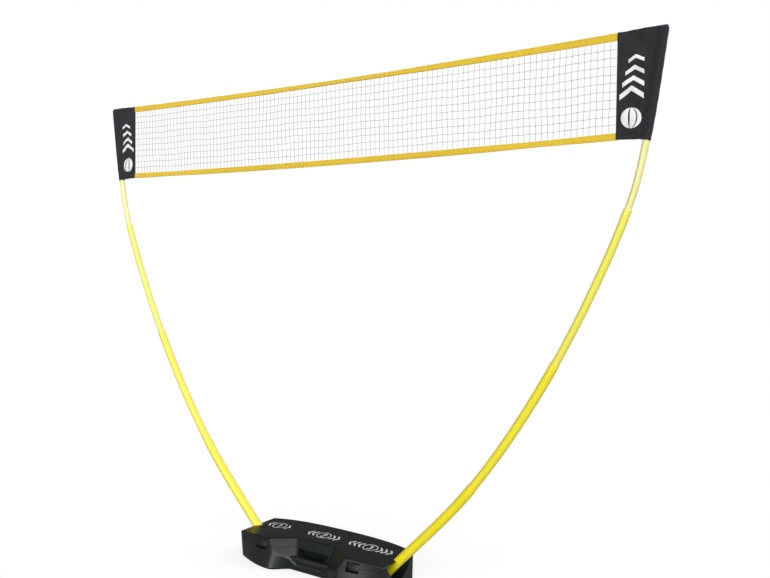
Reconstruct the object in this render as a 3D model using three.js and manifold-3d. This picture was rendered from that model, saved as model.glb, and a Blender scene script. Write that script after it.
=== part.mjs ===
// Volleyball net on two bowed poles that stand in the ends of their own carrying case.
// Millimetres, +Z up. X runs along the net, -Y is the side of the carry handle, and the
// origin is on the ground under the middle of the case. The poles and the net lie in y = 0.

import * as THREE from "three";
import { mergeVertices } from "three/addons/utils/BufferGeometryUtils.js";
import Module from "manifold-3d";

const wasm = await Module();
wasm.setup();

// ---------------------------------------------------------------- driving dimensions

// Poles: the right-hand one, as the bow that the tensioned net pulls it into.
const POLE_FOOT = [325, 29];
const POLE_JOINT_LOW = [764, 500];
const POLE_JOINT_MIDDLE = [1116, 1041];
const POLE_JOINT_HIGH = [1383, 1627];
const POLE_SLEEVE_START = [1442, 1866];
const POLE_TOP = [1500, 2261];
const SECTION_RADII = [16, 14, 12, 10];
const TUBE_WALL = 1.7;
const OVERLAP_LENGTH = 60;
const RINGS_PER_SECTION = 5;
const ROUND_SIDES = 10;
const PLUG_HEAD = 4;
const PLUG_STEM = 18;
const GAP = 0.3;

// Net: two sagging tapes with the mesh between them and a cloth panel at each end.
const NET_HALF_LENGTH = 1331;
const TOP_TAPE_HEIGHT = 28;
const BOTTOM_TAPE_HEIGHT = 26;
const TAPE_THICKNESS = 4;
const TOP_TAPE_MIDDLE_Z = 2233;
const BOTTOM_TAPE_MIDDLE_Z = 1872;
const TAPE_SAG = 12;
const GAPS_ALONG = 36;
const GAPS_UP = 6;
const TWINE = 3;
const PANEL_TOP_Z = 2260;
const PANEL_BOTTOM_Z = 1873;
const SLEEVE_BOTTOM_Z = 1864;
const PANEL_THICKNESS = 2.4;
const SLEEVE_WALL = 1.5;
const SLEEVE_CLEARANCE = 0.9;

// Case: a long shell with flared feet, a waist for the handle and a lid hinged at the back.
const CASE_HALF_LENGTH = 417;
const CASE_BOTTOM_Z = 3.3;
const PARTING_Z = 100;
const LID_EDGE_Z = 128;
const LID_CROWN = 8;
const BODY_WALL = 3.5;
const LID_WALL = 3;
const FRONT_END_Y = 117;
const FRONT_TOP_BULGE = 15;
const FRONT_WING_Y = 170;
const FRONT_WING_X = 195;
const FRONT_FOOT_END_Y = 104;
const WAIST_Y = 112;
const WAIST_HALF_WIDTH = 105;
const BACK_END_Y = 118;
const BACK_MIDDLE_Y = 161;
const BACK_FULLNESS = 3.5;
const BACK_DRAFT = 4;
const CORNER_RADIUS = 10;
const BOTTOM_FILLET = 8;

// Recess in the front for the handle: its sloped back wall and slanted cheeks.
const RECESS_TOP_HALF_WIDTH = 112;
const RECESS_TOP_Y = 58;
const RECESS_TOE_HALF_WIDTH = 75;
const RECESS_TOE_Y = 113;
const RECESS_TOE_Z = 34;
const CHEEK_RUN_X = 103;
const CHEEK_RUN_Y = 74;
const POCKET_LOW_HALF_WIDTH = 66;
const POCKET_HIGH_HALF_WIDTH = 88;
const POCKET_BACK_Y = 46;
const POCKET_LOW_Z = 40;
const POCKET_HIGH_Z = 96.5;
const GRIP_HALF_LENGTH = 120;
const GRIP_Y = -103;
const GRIP_Z = 55;
const GRIP_DEPTH = 22;
const GRIP_HEIGHT = 28;

// Bays in the case ends, coaxial with the pole foot, and the cups that hold the poles.
const THROAT_AT = 27;
const THROAT_RADIUS = 30;
const BAY_FLARE = THREE.MathUtils.degToRad(34);
const BAY_DEPTH = 190;
const BAY_WALL = 3;
const BAY_CEILING_Z = 123.5;
const CUP_BORE = 16.6;
const CUP_WALL = 4.6;
const CUP_FLOOR = 3.5;
const CUP_FLANGE_RADIUS = 27.5;
const CUP_FLANGE_HEIGHT = 3;
const POLE_NOTCH_RADIUS = 22;

// Lid hinge, front latches and feet.
const HINGE_X = 150;
const HINGE_Y = 165;
const HINGE_RADIUS = 5;
const HINGE_PIN_RADIUS = 2;
const LID_KNUCKLE_HALF = 10;
const BODY_KNUCKLE_END = 22;
const LATCH_X = 262;
const LATCH_HALF_WIDTH = 31;
const LATCH_POCKET_HALF_WIDTH = 32;
const LATCH_PIN_Y = -125.5;
const LATCH_PIN_Z = 117;
const LATCH_PIN_RADIUS = 1.5;
const LATCH_KNUCKLE_RADIUS = 4;
const LATCH_TOE_Z = 91;
const LATCH_LAND_Y = -121;
const LATCH_POCKET_LOW_Z = 80;
const LATCH_POCKET_HIGH_Z = 123;
const FOOT_X = 300;
const FOOT_Y = 92;
const FOOT_RADIUS = 15;
const FOOT_STEM_RADIUS = 4;

// ------------------------------------------------------------------------- finishes

const finish = (color, roughness, metalness = 0) => ({ color, roughness, metalness });
const CASE_PLASTIC = finish(0x1c2222, 0.42);
const GRIP_PLASTIC = finish(0x15191a, 0.6);
const LATCH_PLASTIC = finish(0x181c1d, 0.35);
const RUBBER = finish(0x101112, 0.85);
const STEEL = finish(0xb8babc, 0.3, 1);
const SECTION_FINISHES = [
  finish(0xfaeb19, 0.3),
  finish(0xf6e628, 0.3),
  finish(0xf2df48, 0.3),
  finish(0xecda91, 0.32),
];
const TAPE_CLOTH = finish(0xe0b82e, 0.85);
const PANEL_CLOTH = finish(0x22222a, 0.9);
const TWINE_YARN = finish(0x26282a, 0.8);

// ------------------------------------------------------------------ solids and meshes

/** Drops what only shading needs, joins shared corners and leaves out empty triangles. */
function sealed(geometry) {
  const bare = new THREE.BufferGeometry();
  bare.setAttribute("position", geometry.getAttribute("position").clone());
  if (geometry.index) {
    bare.setIndex(geometry.index.clone());
  }
  const joined = mergeVertices(bare, 1e-3);
  const corners = joined.index.array;
  const kept = [];
  for (let i = 0; i < corners.length; i += 3) {
    const [a, b, c] = [corners[i], corners[i + 1], corners[i + 2]];
    if (a !== b && b !== c && c !== a) {
      kept.push(a, b, c);
    }
  }
  joined.setIndex(kept);
  return joined;
}

/** Turns a closed geometry into a solid that can be joined and cut. */
function solid(geometry) {
  const shape = sealed(geometry);
  const vertProperties = new Float32Array(shape.getAttribute("position").array);
  const triVerts = new Uint32Array(shape.index.array);
  return new wasm.Manifold(new wasm.Mesh({ numProp: 3, vertProperties, triVerts }));
}

/** Turns a cut solid back into a geometry. */
function geometryOf(cutSolid) {
  const mesh = cutSolid.getMesh();
  const geometry = new THREE.BufferGeometry();
  geometry.setAttribute("position", new THREE.BufferAttribute(mesh.vertProperties, 3));
  geometry.setIndex(new THREE.BufferAttribute(mesh.triVerts, 1));
  return geometry;
}

const group = new THREE.Group();

/** Adds one sub-part to the object as a flat-shaded mesh under its own name. */
function addPart(name, shape, look) {
  const geometry = sealed(shape.isBufferGeometry ? shape : geometryOf(shape));
  geometry.computeVertexNormals();
  const material = new THREE.MeshStandardMaterial({ ...look, flatShading: true });
  const mesh = new THREE.Mesh(geometry, material);
  mesh.name = name;
  group.add(mesh);
}

/** The same geometry on the other side of x = 0, still facing outwards. */
function mirrored(geometry) {
  const copy = sealed(geometry);
  copy.scale(-1, 1, 1);
  const corners = Array.from(copy.index.array);
  for (let i = 0; i < corners.length; i += 3) {
    [corners[i], corners[i + 1]] = [corners[i + 1], corners[i]];
  }
  copy.setIndex(corners);
  return copy;
}

/** Adds a right-hand sub-part and its mirror image on the left. */
function addPair(name, shape, look) {
  const geometry = shape.isBufferGeometry ? shape : geometryOf(shape);
  addPart(`${name}_right`, geometry, look);
  addPart(`${name}_left`, mirrored(geometry), look);
}

/** A solid on both sides of x = 0. */
function onBothSides(geometry) {
  return solid(geometry).add(solid(mirrored(geometry)));
}

/** A box between two corners. */
function boxBetween(low, high) {
  const size = high.map((value, axis) => value - low[axis]);
  const box = new THREE.BoxGeometry(...size);
  box.translate(...high.map((value, axis) => (value + low[axis]) / 2));
  return box;
}

/** A round bar along X between two places, about the line y, z. */
function barAlongX(radius, fromX, toX, y, z, sides = 16) {
  const bar = new THREE.CylinderGeometry(radius, radius, toX - fromX, sides);
  bar.rotateZ(Math.PI / 2);
  bar.translate((fromX + toX) / 2, y, z);
  return bar;
}

/** A prism along X whose outline is given as [y, z] corners. */
function prismAlongX(corners, fromX, toX) {
  const outline = new THREE.Shape(corners.map(([y, z]) => new THREE.Vector2(y, z)));
  const prism = new THREE.ExtrudeGeometry(outline, { depth: toX - fromX, bevelEnabled: false });
  prism.applyMatrix4(new THREE.Matrix4().set(0, 0, 1, fromX, 1, 0, 0, 0, 0, 1, 0, 0, 0, 0, 0, 1));
  return prism;
}

/** Triangles that fill an outline and go round it in its own direction. */
function capTriangles(corners) {
  const outline = corners.map(([y, z]) => new THREE.Vector2(y, z));
  const triangles = THREE.ShapeUtils.triangulateShape(outline, []);
  const turn = ([a, b, c]) => THREE.ShapeUtils.area([outline[a], outline[b], outline[c]]);
  const total = triangles.reduce((sum, triangle) => sum + turn(triangle), 0);
  const sameWay = total * THREE.ShapeUtils.area(outline) > 0;
  return sameWay ? triangles : triangles.map(([a, b, c]) => [a, c, b]);
}

/** Skins a row of closed [y, z] outlines along X, with flat ends. */
function loftAlongX(stations, outlineAt) {
  const outlines = stations.map((x) => outlineAt(x));
  const around = outlines[0].length;
  const positions = [];
  stations.forEach((x, row) => outlines[row].forEach(([y, z]) => positions.push(x, y, z)));
  const corners = [];
  for (let row = 0; row + 1 < stations.length; row += 1) {
    for (let k = 0; k < around; k += 1) {
      const a = row * around + k;
      const b = row * around + ((k + 1) % around);
      corners.push(a, a + around, b, b, a + around, b + around);
    }
  }
  const lastStart = (stations.length - 1) * around;
  for (const [a, b, c] of capTriangles(outlines[0])) {
    corners.push(a, b, c);
  }
  for (const [a, b, c] of capTriangles(outlines[outlines.length - 1])) {
    corners.push(lastStart + a, lastStart + c, lastStart + b);
  }
  const geometry = new THREE.BufferGeometry();
  geometry.setAttribute("position", new THREE.Float32BufferAttribute(positions, 3));
  geometry.setIndex(corners);
  return facingOut(geometry);
}

/** Turns a closed geometry the right way round, judged by its signed volume. */
function facingOut(geometry) {
  const place = geometry.getAttribute("position");
  const corners = Array.from(geometry.index.array);
  const [a, b, c] = [new THREE.Vector3(), new THREE.Vector3(), new THREE.Vector3()];
  let volume = 0;
  for (let i = 0; i < corners.length; i += 3) {
    a.fromBufferAttribute(place, corners[i]);
    b.fromBufferAttribute(place, corners[i + 1]);
    c.fromBufferAttribute(place, corners[i + 2]);
    volume += a.dot(b.cross(c));
  }
  if (volume < 0) {
    for (let i = 0; i < corners.length; i += 3) {
      [corners[i], corners[i + 1]] = [corners[i + 1], corners[i]];
    }
    geometry.setIndex(corners);
  }
  return geometry;
}

// ------------------------------------------------------------------- line of the poles

const inNetPlane = ([x, z]) => new THREE.Vector3(x, 0, z);
const poleLine = new THREE.CatmullRomCurve3(
  [POLE_FOOT, POLE_JOINT_LOW, POLE_JOINT_MIDDLE, POLE_JOINT_HIGH, POLE_SLEEVE_START, POLE_TOP].map(
    inNetPlane,
  ),
);
poleLine.arcLengthDivisions = 600;
const LINE_LENGTH = poleLine.getLength();
const TUBE_END = LINE_LENGTH - 14;
const SECTION_LENGTH = TUBE_END / SECTION_RADII.length;

/** Point and direction of the pole's centre line at a distance from its foot. */
function poleAt(distance) {
  const inside = THREE.MathUtils.clamp(distance, 0, LINE_LENGTH);
  const direction = poleLine.getTangentAt(inside / LINE_LENGTH);
  const point = poleLine.getPointAt(inside / LINE_LENGTH);
  point.addScaledVector(direction, distance - inside);
  return { point, direction };
}

/** A turned shape whose axis is the bowed centre line. The profile is [radius, distance]. */
function turnedOnPole(profile, sides = ROUND_SIDES) {
  const points = profile.map(([radius, distance]) => new THREE.Vector2(radius, distance));
  const turned = new THREE.LatheGeometry(points, sides);
  const place = turned.getAttribute("position");
  for (let i = 0; i < place.count; i += 1) {
    const { point, direction } = poleAt(place.getY(i));
    const outwards = new THREE.Vector3(direction.z, 0, -direction.x);
    point.addScaledVector(outwards, place.getX(i));
    place.setXYZ(i, point.x, point.y - place.getZ(i), point.z);
  }
  return facingOut(sealed(turned));
}

/** A turned shape on the straight axis of the pole's foot, which the case and cup share. */
function turnedOnFoot(profile, sides) {
  const points = profile.map(([radius, distance]) => new THREE.Vector2(radius, distance));
  const turned = new THREE.LatheGeometry(points, sides);
  const { point, direction } = poleAt(0);
  const upright = new THREE.Vector3(0, 1, 0);
  turned.applyQuaternion(new THREE.Quaternion().setFromUnitVectors(upright, direction));
  turned.translate(point.x, point.y, point.z);
  return facingOut(sealed(turned));
}

// ------------------------------------------------------------------------------ poles

/** Distances of the rings that let one tube follow the bow, from its foot to its top. */
function ringDistances(from, to) {
  const distances = [from];
  const first = from > 0 ? from + OVERLAP_LENGTH : from;
  const last = to < TUBE_END ? to - OVERLAP_LENGTH : to;
  for (let k = 0; k <= RINGS_PER_SECTION; k += 1) {
    distances.push(first + ((last - first) * k) / RINGS_PER_SECTION);
  }
  distances.push(to);
  return [...new Set(distances)];
}

/** One tube of a pole. Its lower end stands inside the tube below it. */
function poleTube(index) {
  const outer = SECTION_RADII[index];
  const bore = outer - TUBE_WALL;
  const from = index === 0 ? PLUG_HEAD : index * SECTION_LENGTH - OVERLAP_LENGTH;
  const distances = ringDistances(from, (index + 1) * SECTION_LENGTH);
  const outside = distances.map((distance) => [outer, distance]);
  const inside = [...distances].reverse().map((distance) => [bore, distance]);
  return turnedOnPole([...outside, ...inside, outside[0]]);
}

SECTION_RADII.forEach((radius, index) => {
  addPair(`pole_section_${index + 1}`, poleTube(index), SECTION_FINISHES[index]);
});

/** Rubber plug in the pole's foot: a disc under the tube and a stem in its bore. */
const footBore = SECTION_RADII[0] - TUBE_WALL - GAP;
addPair(
  "pole_foot_plug",
  turnedOnPole([
    [0, GAP],
    [SECTION_RADII[0] - 1, GAP],
    [SECTION_RADII[0], 1 + GAP],
    [SECTION_RADII[0], PLUG_HEAD - GAP],
    [footBore, PLUG_HEAD - GAP],
    [footBore, PLUG_HEAD + PLUG_STEM],
    [0, PLUG_HEAD + PLUG_STEM],
  ]),
  RUBBER,
);

/** Rounded cap in the pole's top, which keeps the tube from wearing the sleeve. */
const tipRadius = SECTION_RADII[3];
addPair(
  "pole_tip_cap",
  turnedOnPole([
    [0, TUBE_END - PLUG_STEM],
    [tipRadius - TUBE_WALL - GAP, TUBE_END - PLUG_STEM],
    [tipRadius - TUBE_WALL - GAP, TUBE_END + GAP],
    [tipRadius, TUBE_END + GAP],
    [tipRadius, TUBE_END + 3],
    [tipRadius * 0.72, TUBE_END + 6],
    [0, TUBE_END + 7.5],
  ]),
  RUBBER,
);

// -------------------------------------------------------------------------------- net

/** Height of the upper tape's middle line: a shallow sag between the panels. */
const topTapeZ = (x) => TOP_TAPE_MIDDLE_Z + TAPE_SAG * (x / NET_HALF_LENGTH) ** 2;

/** Height of the lower tape's middle line. */
const bottomTapeZ = (x) => BOTTOM_TAPE_MIDDLE_Z + TAPE_SAG * (x / NET_HALF_LENGTH) ** 2;

/** A flat sheet in the net's plane, cut to an outline and holes, centred on y = 0. */
function sheetInNetPlane(outline, holes, thickness) {
  const shape = new THREE.Shape(outline);
  shape.holes = holes.map((hole) => new THREE.Path(hole));
  const sheet = new THREE.ExtrudeGeometry(shape, { depth: thickness, bevelEnabled: false });
  sheet.rotateX(Math.PI / 2);
  sheet.translate(0, thickness / 2, 0);
  return sheet;
}

/** Evenly spaced places along the net, from its left end to its right end. */
function placesAlong(count) {
  const half = NET_HALF_LENGTH - GAP;
  return Array.from({ length: count + 1 }, (_, k) => half * ((2 * k) / count - 1));
}

/** A band between two lines that run the length of the net. */
function band(lowLine, highLine) {
  const places = placesAlong(GAPS_ALONG);
  const low = places.map((x) => new THREE.Vector2(x, lowLine(x)));
  const high = places.map((x) => new THREE.Vector2(x, highLine(x)));
  return [...low, ...high.reverse()];
}

/** Webbing folded over one long edge of the mesh. */
function tape(middleLine, height) {
  const outline = band((x) => middleLine(x) - height / 2, (x) => middleLine(x) + height / 2);
  return sheetInNetPlane(outline, [], TAPE_THICKNESS);
}

addPart("top_tape", tape(topTapeZ, TOP_TAPE_HEIGHT), TAPE_CLOTH);
addPart("bottom_tape", tape(bottomTapeZ, BOTTOM_TAPE_HEIGHT), TAPE_CLOTH);

/** The knotted mesh, with fewer and wider gaps than the real one, hung between the tapes. */
function netMesh() {
  const lowEdge = (x) => bottomTapeZ(x) + BOTTOM_TAPE_HEIGHT / 2 + GAP;
  const highEdge = (x) => topTapeZ(x) - TOP_TAPE_HEIGHT / 2 - GAP;
  const half = NET_HALF_LENGTH - GAP;
  const columnPitch = (2 * half - TWINE) / GAPS_ALONG;
  const holes = [];
  for (let column = 0; column < GAPS_ALONG; column += 1) {
    const left = -half + TWINE + column * columnPitch;
    const right = left + columnPitch - TWINE;
    for (let row = 0; row < GAPS_UP; row += 1) {
      const heightAt = (x, edge) => {
        const rowPitch = (highEdge(x) - lowEdge(x) - TWINE) / GAPS_UP;
        return lowEdge(x) + row * rowPitch + (edge ? rowPitch : TWINE);
      };
      holes.push([
        new THREE.Vector2(left, heightAt(left, 0)),
        new THREE.Vector2(left, heightAt(left, 1)),
        new THREE.Vector2(right, heightAt(right, 1)),
        new THREE.Vector2(right, heightAt(right, 0)),
      ]);
    }
  }
  return sheetInNetPlane(band(lowEdge, highEdge), holes, TWINE);
}

addPart("net_mesh", netMesh(), TWINE_YARN);

/** Distance along the pole at which it reaches a height. */
function distanceAtHeight(z) {
  let [low, high] = [0, LINE_LENGTH];
  for (let step = 0; step < 30; step += 1) {
    const middle = (low + high) / 2;
    if (poleAt(middle).point.z < z) {
      low = middle;
    } else {
      high = middle;
    }
  }
  return low;
}

/** End panel: a flat cloth sewn to the net, with a sleeve that the pole's top slips into. */
function endPanel() {
  const bore = SECTION_RADII[3] + SLEEVE_CLEARANCE;
  const start = distanceAtHeight(SLEEVE_BOTTOM_Z);
  const boreEnd = LINE_LENGTH - 3;
  const steps = 4;
  const along = Array.from({ length: steps + 1 }, (_, k) => start + ((boreEnd - start) * k) / steps);
  const sleeve = along.map((distance) => [bore + SLEEVE_WALL, distance]);
  const hollow = along.map((distance) => [bore, distance]);
  const sleeveSolid = solid(turnedOnPole([[0, start], ...sleeve, [bore, LINE_LENGTH], [0, LINE_LENGTH]]));
  const boreSolid = solid(turnedOnPole([[0, start - 5], [bore, start - 5], ...hollow, [0, boreEnd]]));
  const outerEdge = along.map((distance) => {
    const { point } = poleAt(distance);
    return new THREE.Vector2(point.x, point.z);
  });
  const innerEdge = [
    new THREE.Vector2(NET_HALF_LENGTH, PANEL_TOP_Z),
    new THREE.Vector2(NET_HALF_LENGTH, PANEL_BOTTOM_Z),
  ];
  const cloth = solid(sheetInNetPlane([...outerEdge, ...innerEdge], [], PANEL_THICKNESS));
  return cloth.add(sleeveSolid).subtract(boreSolid);
}

addPair("end_panel", endPanel(), PANEL_CLOTH);

// ------------------------------------------------------------------ shape of the case

const smooth = (t) => t * t * (3 - 2 * t);
const mix = (low, high, t) => low + (high - low) * t;

/** Front of the case at the foot of its walls: flared wings on both sides of a waist. */
function frontAtFoot(x) {
  const away = Math.abs(x);
  if (away > FRONT_WING_X) {
    const turn = (away - FRONT_WING_X) / (CASE_HALF_LENGTH - FRONT_WING_X);
    return mix(FRONT_FOOT_END_Y, FRONT_WING_Y, Math.cos((turn * Math.PI) / 2));
  }
  const rise = (away - WAIST_HALF_WIDTH) / (FRONT_WING_X - WAIST_HALF_WIDTH);
  return mix(WAIST_Y, FRONT_WING_Y, smooth(THREE.MathUtils.clamp(rise, 0, 1)));
}

/** Front of the case at the height of the lid's edge: almost straight. */
function frontAtTop(x) {
  const inwards = 1 - Math.abs(x) / CASE_HALF_LENGTH;
  return FRONT_END_Y + FRONT_TOP_BULGE * Math.min(1, 2 * inwards);
}

/** Distance of the front or back wall from y = 0, at a place and a height. */
function wallY(x, z, side) {
  const footZ = CASE_BOTTOM_Z + BOTTOM_FILLET;
  const t = Math.max(0, (z - footZ) / (LID_EDGE_Z - footZ));
  if (side < 0) {
    return mix(frontAtFoot(x), frontAtTop(x), t);
  }
  const fullness = 1 - (Math.abs(x) / CASE_HALF_LENGTH) ** BACK_FULLNESS;
  return mix(BACK_END_Y, BACK_MIDDLE_Y, fullness) - BACK_DRAFT * (1 - t);
}

/** How far the rounded corner draws the walls in, near the case's end. */
function cornerInset(x, inset) {
  const radius = CORNER_RADIUS - inset;
  const into = Math.abs(x) - (CASE_HALF_LENGTH - CORNER_RADIUS);
  return into <= 0 ? 0 : radius - Math.sqrt(Math.max(0, radius * radius - into * into));
}

/** Places of the sections along the case, closer together round the corners. */
function caseStations(inset) {
  const corner = CASE_HALF_LENGTH - CORNER_RADIUS;
  const half = [0, 40, 80, 105, 120, 135, 150, 165, 180, 195, 225, 260, 300, 340, 370, corner];
  for (const turn of [25, 48, 70, 90]) {
    half.push(corner + (CORNER_RADIUS - inset) * Math.sin(THREE.MathUtils.degToRad(turn)));
  }
  return [...half.slice(1).reverse().map((x) => -x), ...half];
}

/** Crowned height of the lid at a place along the case. */
const lidTop = (x) => LID_EDGE_Z + LID_CROWN * (1 - (x / CASE_HALF_LENGTH) ** 2);

/** Closed section of the case between two heights, drawn in by a wall thickness. */
function caseSection(x, lowZ, highZ, inset, fillet) {
  const inwards = inset + cornerInset(x, inset);
  const front = (z) => -(wallY(x, z, -1) - inwards);
  const back = (z) => wallY(x, z, 1) - inwards;
  const middleZ = (lowZ + fillet + highZ) / 2;
  return [
    [front(lowZ) + fillet, lowZ],
    [front(lowZ) + 0.3 * fillet, lowZ + 0.3 * fillet],
    [front(lowZ + fillet), lowZ + fillet],
    [front(middleZ), middleZ],
    [front(highZ), highZ],
    [back(highZ), highZ],
    [back(lowZ + fillet), lowZ + fillet],
    [back(lowZ) - 0.3 * fillet, lowZ + 0.3 * fillet],
    [back(lowZ) - fillet, lowZ],
  ];
}

/** Solid with the case's plan between two heights. */
function caseBlock(lowZ, highZ, inset, fillet) {
  const top = typeof highZ === "function" ? highZ : () => highZ;
  return solid(loftAlongX(caseStations(inset), (x) => caseSection(x, lowZ, top(x), inset, fillet)));
}

/** Tool for the handle recess: a sloped back wall between two slanted cheeks. */
function recessTool(wall) {
  const lean = Math.hypot(CHEEK_RUN_X, CHEEK_RUN_Y);
  const topZ = 150;
  const atHeight = (z) => {
    const t = (z - RECESS_TOE_Z) / (LID_EDGE_Z - RECESS_TOE_Z);
    const innerX = mix(RECESS_TOE_HALF_WIDTH, RECESS_TOP_HALF_WIDTH, t) + wall * (lean / CHEEK_RUN_Y - 1);
    const innerY = wall - mix(RECESS_TOE_Y, RECESS_TOP_Y, t);
    const outerX = innerX + 2 * CHEEK_RUN_X;
    const outerY = innerY - 2 * CHEEK_RUN_Y;
    return [
      [-outerX, outerY, z],
      [-innerX, innerY, z],
      [innerX, innerY, z],
      [outerX, outerY, z],
    ];
  };
  const low = atHeight(RECESS_TOE_Z - wall);
  const high = atHeight(topZ);
  const geometry = new THREE.BufferGeometry();
  geometry.setAttribute("position", new THREE.Float32BufferAttribute([...low, ...high].flat(), 3));
  const sides = [];
  for (let k = 0; k < 4; k += 1) {
    const next = (k + 1) % 4;
    sides.push(k, next, k + 4, next, next + 4, k + 4);
  }
  geometry.setIndex([0, 2, 1, 0, 3, 2, 4, 5, 6, 4, 6, 7, ...sides]);
  return solid(facingOut(geometry));
}

/** Tool for the finger pocket behind the grip: narrower below, with rounded back edges. */
function pocketTool(wall) {
  const round = 10;
  const back = wall - POCKET_BACK_Y;
  const low = POCKET_LOW_Z - wall;
  const high = POCKET_HIGH_Z + wall;
  const front = -FRONT_WING_Y;
  const corners = [
    [front, low],
    [back - round, low],
    [back - 0.3 * round, low + 0.3 * round],
    [back, low + round],
    [back, high - round],
    [back - 0.3 * round, high - 0.3 * round],
    [back - round, high],
    [front, high],
  ];
  const tool = prismAlongX(corners, -1, 1);
  const place = tool.getAttribute("position");
  for (let i = 0; i < place.count; i += 1) {
    const t = (place.getZ(i) - POCKET_LOW_Z) / (POCKET_HIGH_Z - POCKET_LOW_Z);
    place.setX(i, place.getX(i) * (mix(POCKET_LOW_HALF_WIDTH, POCKET_HIGH_HALF_WIDTH, t) + wall));
  }
  return solid(tool);
}

/** Cone of the bay round the pole's foot, drawn out by a wall thickness. */
function bayTool(wall) {
  const start = THROAT_AT - wall;
  const spread = THROAT_RADIUS + wall / Math.cos(BAY_FLARE);
  const radiusAt = (distance) => spread + (distance - THROAT_AT) * Math.tan(BAY_FLARE);
  return turnedOnFoot(
    [
      [0, start],
      [radiusAt(start), start],
      [radiusAt(BAY_DEPTH), BAY_DEPTH],
      [0, BAY_DEPTH],
    ],
    32,
  );
}

/** Straight round tool on the pole foot's axis. */
function footAxisBar(radius, from, to, sides = 20) {
  return turnedOnFoot(
    [
      [0, from],
      [radius, from],
      [radius, to],
      [0, to],
    ],
    sides,
  );
}

const cupOuter = CUP_BORE + CUP_WALL;
const cupBottom = -CUP_FLOOR;

/** Cup that takes the foot of the pole, seated with its flange on the bay's throat. */
addPair(
  "pole_socket",
  turnedOnFoot(
    [
      [0, cupBottom],
      [cupOuter, cupBottom],
      [cupOuter, THROAT_AT + GAP],
      [CUP_FLANGE_RADIUS, THROAT_AT + GAP],
      [CUP_FLANGE_RADIUS, THROAT_AT + CUP_FLANGE_HEIGHT - 1],
      [CUP_FLANGE_RADIUS - 1, THROAT_AT + CUP_FLANGE_HEIGHT],
      [CUP_BORE + 1.5, THROAT_AT + CUP_FLANGE_HEIGHT],
      [CUP_BORE, THROAT_AT],
      [CUP_BORE, 0],
      [0, 0],
    ],
    20,
  ),
  GRIP_PLASTIC,
);

/** One hinge knuckle: a barrel about the hinge line with a web to the wall in front of it. */
function knuckle(fromX, toX, below) {
  const barrel = solid(barAlongX(HINGE_RADIUS, fromX, toX, HINGE_Y, PARTING_Z));
  const reach = below ? -1 : 1;
  const corners = [
    [HINGE_Y - 8, PARTING_Z + reach],
    [HINGE_Y, PARTING_Z + reach],
    [HINGE_Y + 3, PARTING_Z + 4 * reach],
    [HINGE_Y - 8, PARTING_Z + 16 * reach],
  ];
  const web = solid(facingOut(sealed(prismAlongX(corners, fromX, toX))));
  return barrel.add(web);
}

/** A pair of knuckle rows for both hinges, bored for the pins. */
function knuckles(ranges, below) {
  let row = null;
  for (const side of [-1, 1]) {
    for (const [from, to] of ranges) {
      const ends = [side * HINGE_X + from, side * HINGE_X + to];
      const one = knuckle(...ends, below);
      row = row ? row.add(one) : one;
    }
  }
  return row;
}

const bodyKnuckleRanges = [
  [-BODY_KNUCKLE_END, -LID_KNUCKLE_HALF - GAP],
  [LID_KNUCKLE_HALF + GAP, BODY_KNUCKLE_END],
];
const lidKnuckleRanges = [[-LID_KNUCKLE_HALF, LID_KNUCKLE_HALF]];

/** Room for the other leaf's barrels. */
function barrelRoom(halfWidth) {
  const from = HINGE_X - halfWidth - 1;
  const to = HINGE_X + halfWidth + 1;
  return onBothSides(barAlongX(HINGE_RADIUS + 0.8, from, to, HINGE_Y, PARTING_Z, 20));
}

/** Bores for the hinge pins. */
function hingeBores() {
  const from = HINGE_X - BODY_KNUCKLE_END - 1;
  const to = HINGE_X + BODY_KNUCKLE_END + 1;
  return onBothSides(barAlongX(HINGE_PIN_RADIUS + GAP, from, to, HINGE_Y, PARTING_Z, 12));
}

/** Thick land behind each latch, from the wall inwards. */
function latchLand(lowZ, highZ) {
  const half = LATCH_POCKET_HALF_WIDTH + 4;
  return onBothSides(
    boxBetween([LATCH_X - half, -FRONT_WING_Y, lowZ], [LATCH_X + half, LATCH_LAND_Y + 4, highZ]),
  );
}

/** Pocket that sinks each latch into the front. */
function latchPocket() {
  const half = LATCH_POCKET_HALF_WIDTH;
  return onBothSides(
    boxBetween(
      [LATCH_X - half, -FRONT_WING_Y, LATCH_POCKET_LOW_Z],
      [LATCH_X + half, LATCH_LAND_Y, LATCH_POCKET_HIGH_Z],
    ),
  );
}

// ------------------------------------------------------------------------- case body

/** Section of the grip at a place: a rounded bar that gets a little slimmer at its ends. */
function gripSection(x, grow) {
  const taper = 1 - 0.16 * (Math.abs(x) / GRIP_HALF_LENGTH) ** 4;
  const outline = [];
  const sides = 16;
  for (let k = 0; k < sides; k += 1) {
    const angle = (2 * Math.PI * (k + 0.5)) / sides;
    const [c, s] = [Math.cos(angle), Math.sin(angle)];
    const y = Math.sign(c) * Math.abs(c) ** 0.6 * ((GRIP_DEPTH / 2) * taper + grow);
    const z = Math.sign(s) * Math.abs(s) ** 0.6 * ((GRIP_HEIGHT / 2) * taper + grow);
    outline.push([GRIP_Y + y, GRIP_Z + z]);
  }
  return outline;
}

/** The grip, or the room for it when it's grown by a clearance. */
function gripBar(grow) {
  const shares = [-1, -0.9, -0.78, -0.6, -0.3, 0.3, 0.6, 0.78, 0.9, 1];
  const places = shares.map((share) => share * (GRIP_HALF_LENGTH + grow));
  return loftAlongX(places, (x) => gripSection(x, grow));
}

addPart("carry_handle", gripBar(0), GRIP_PLASTIC);

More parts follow.
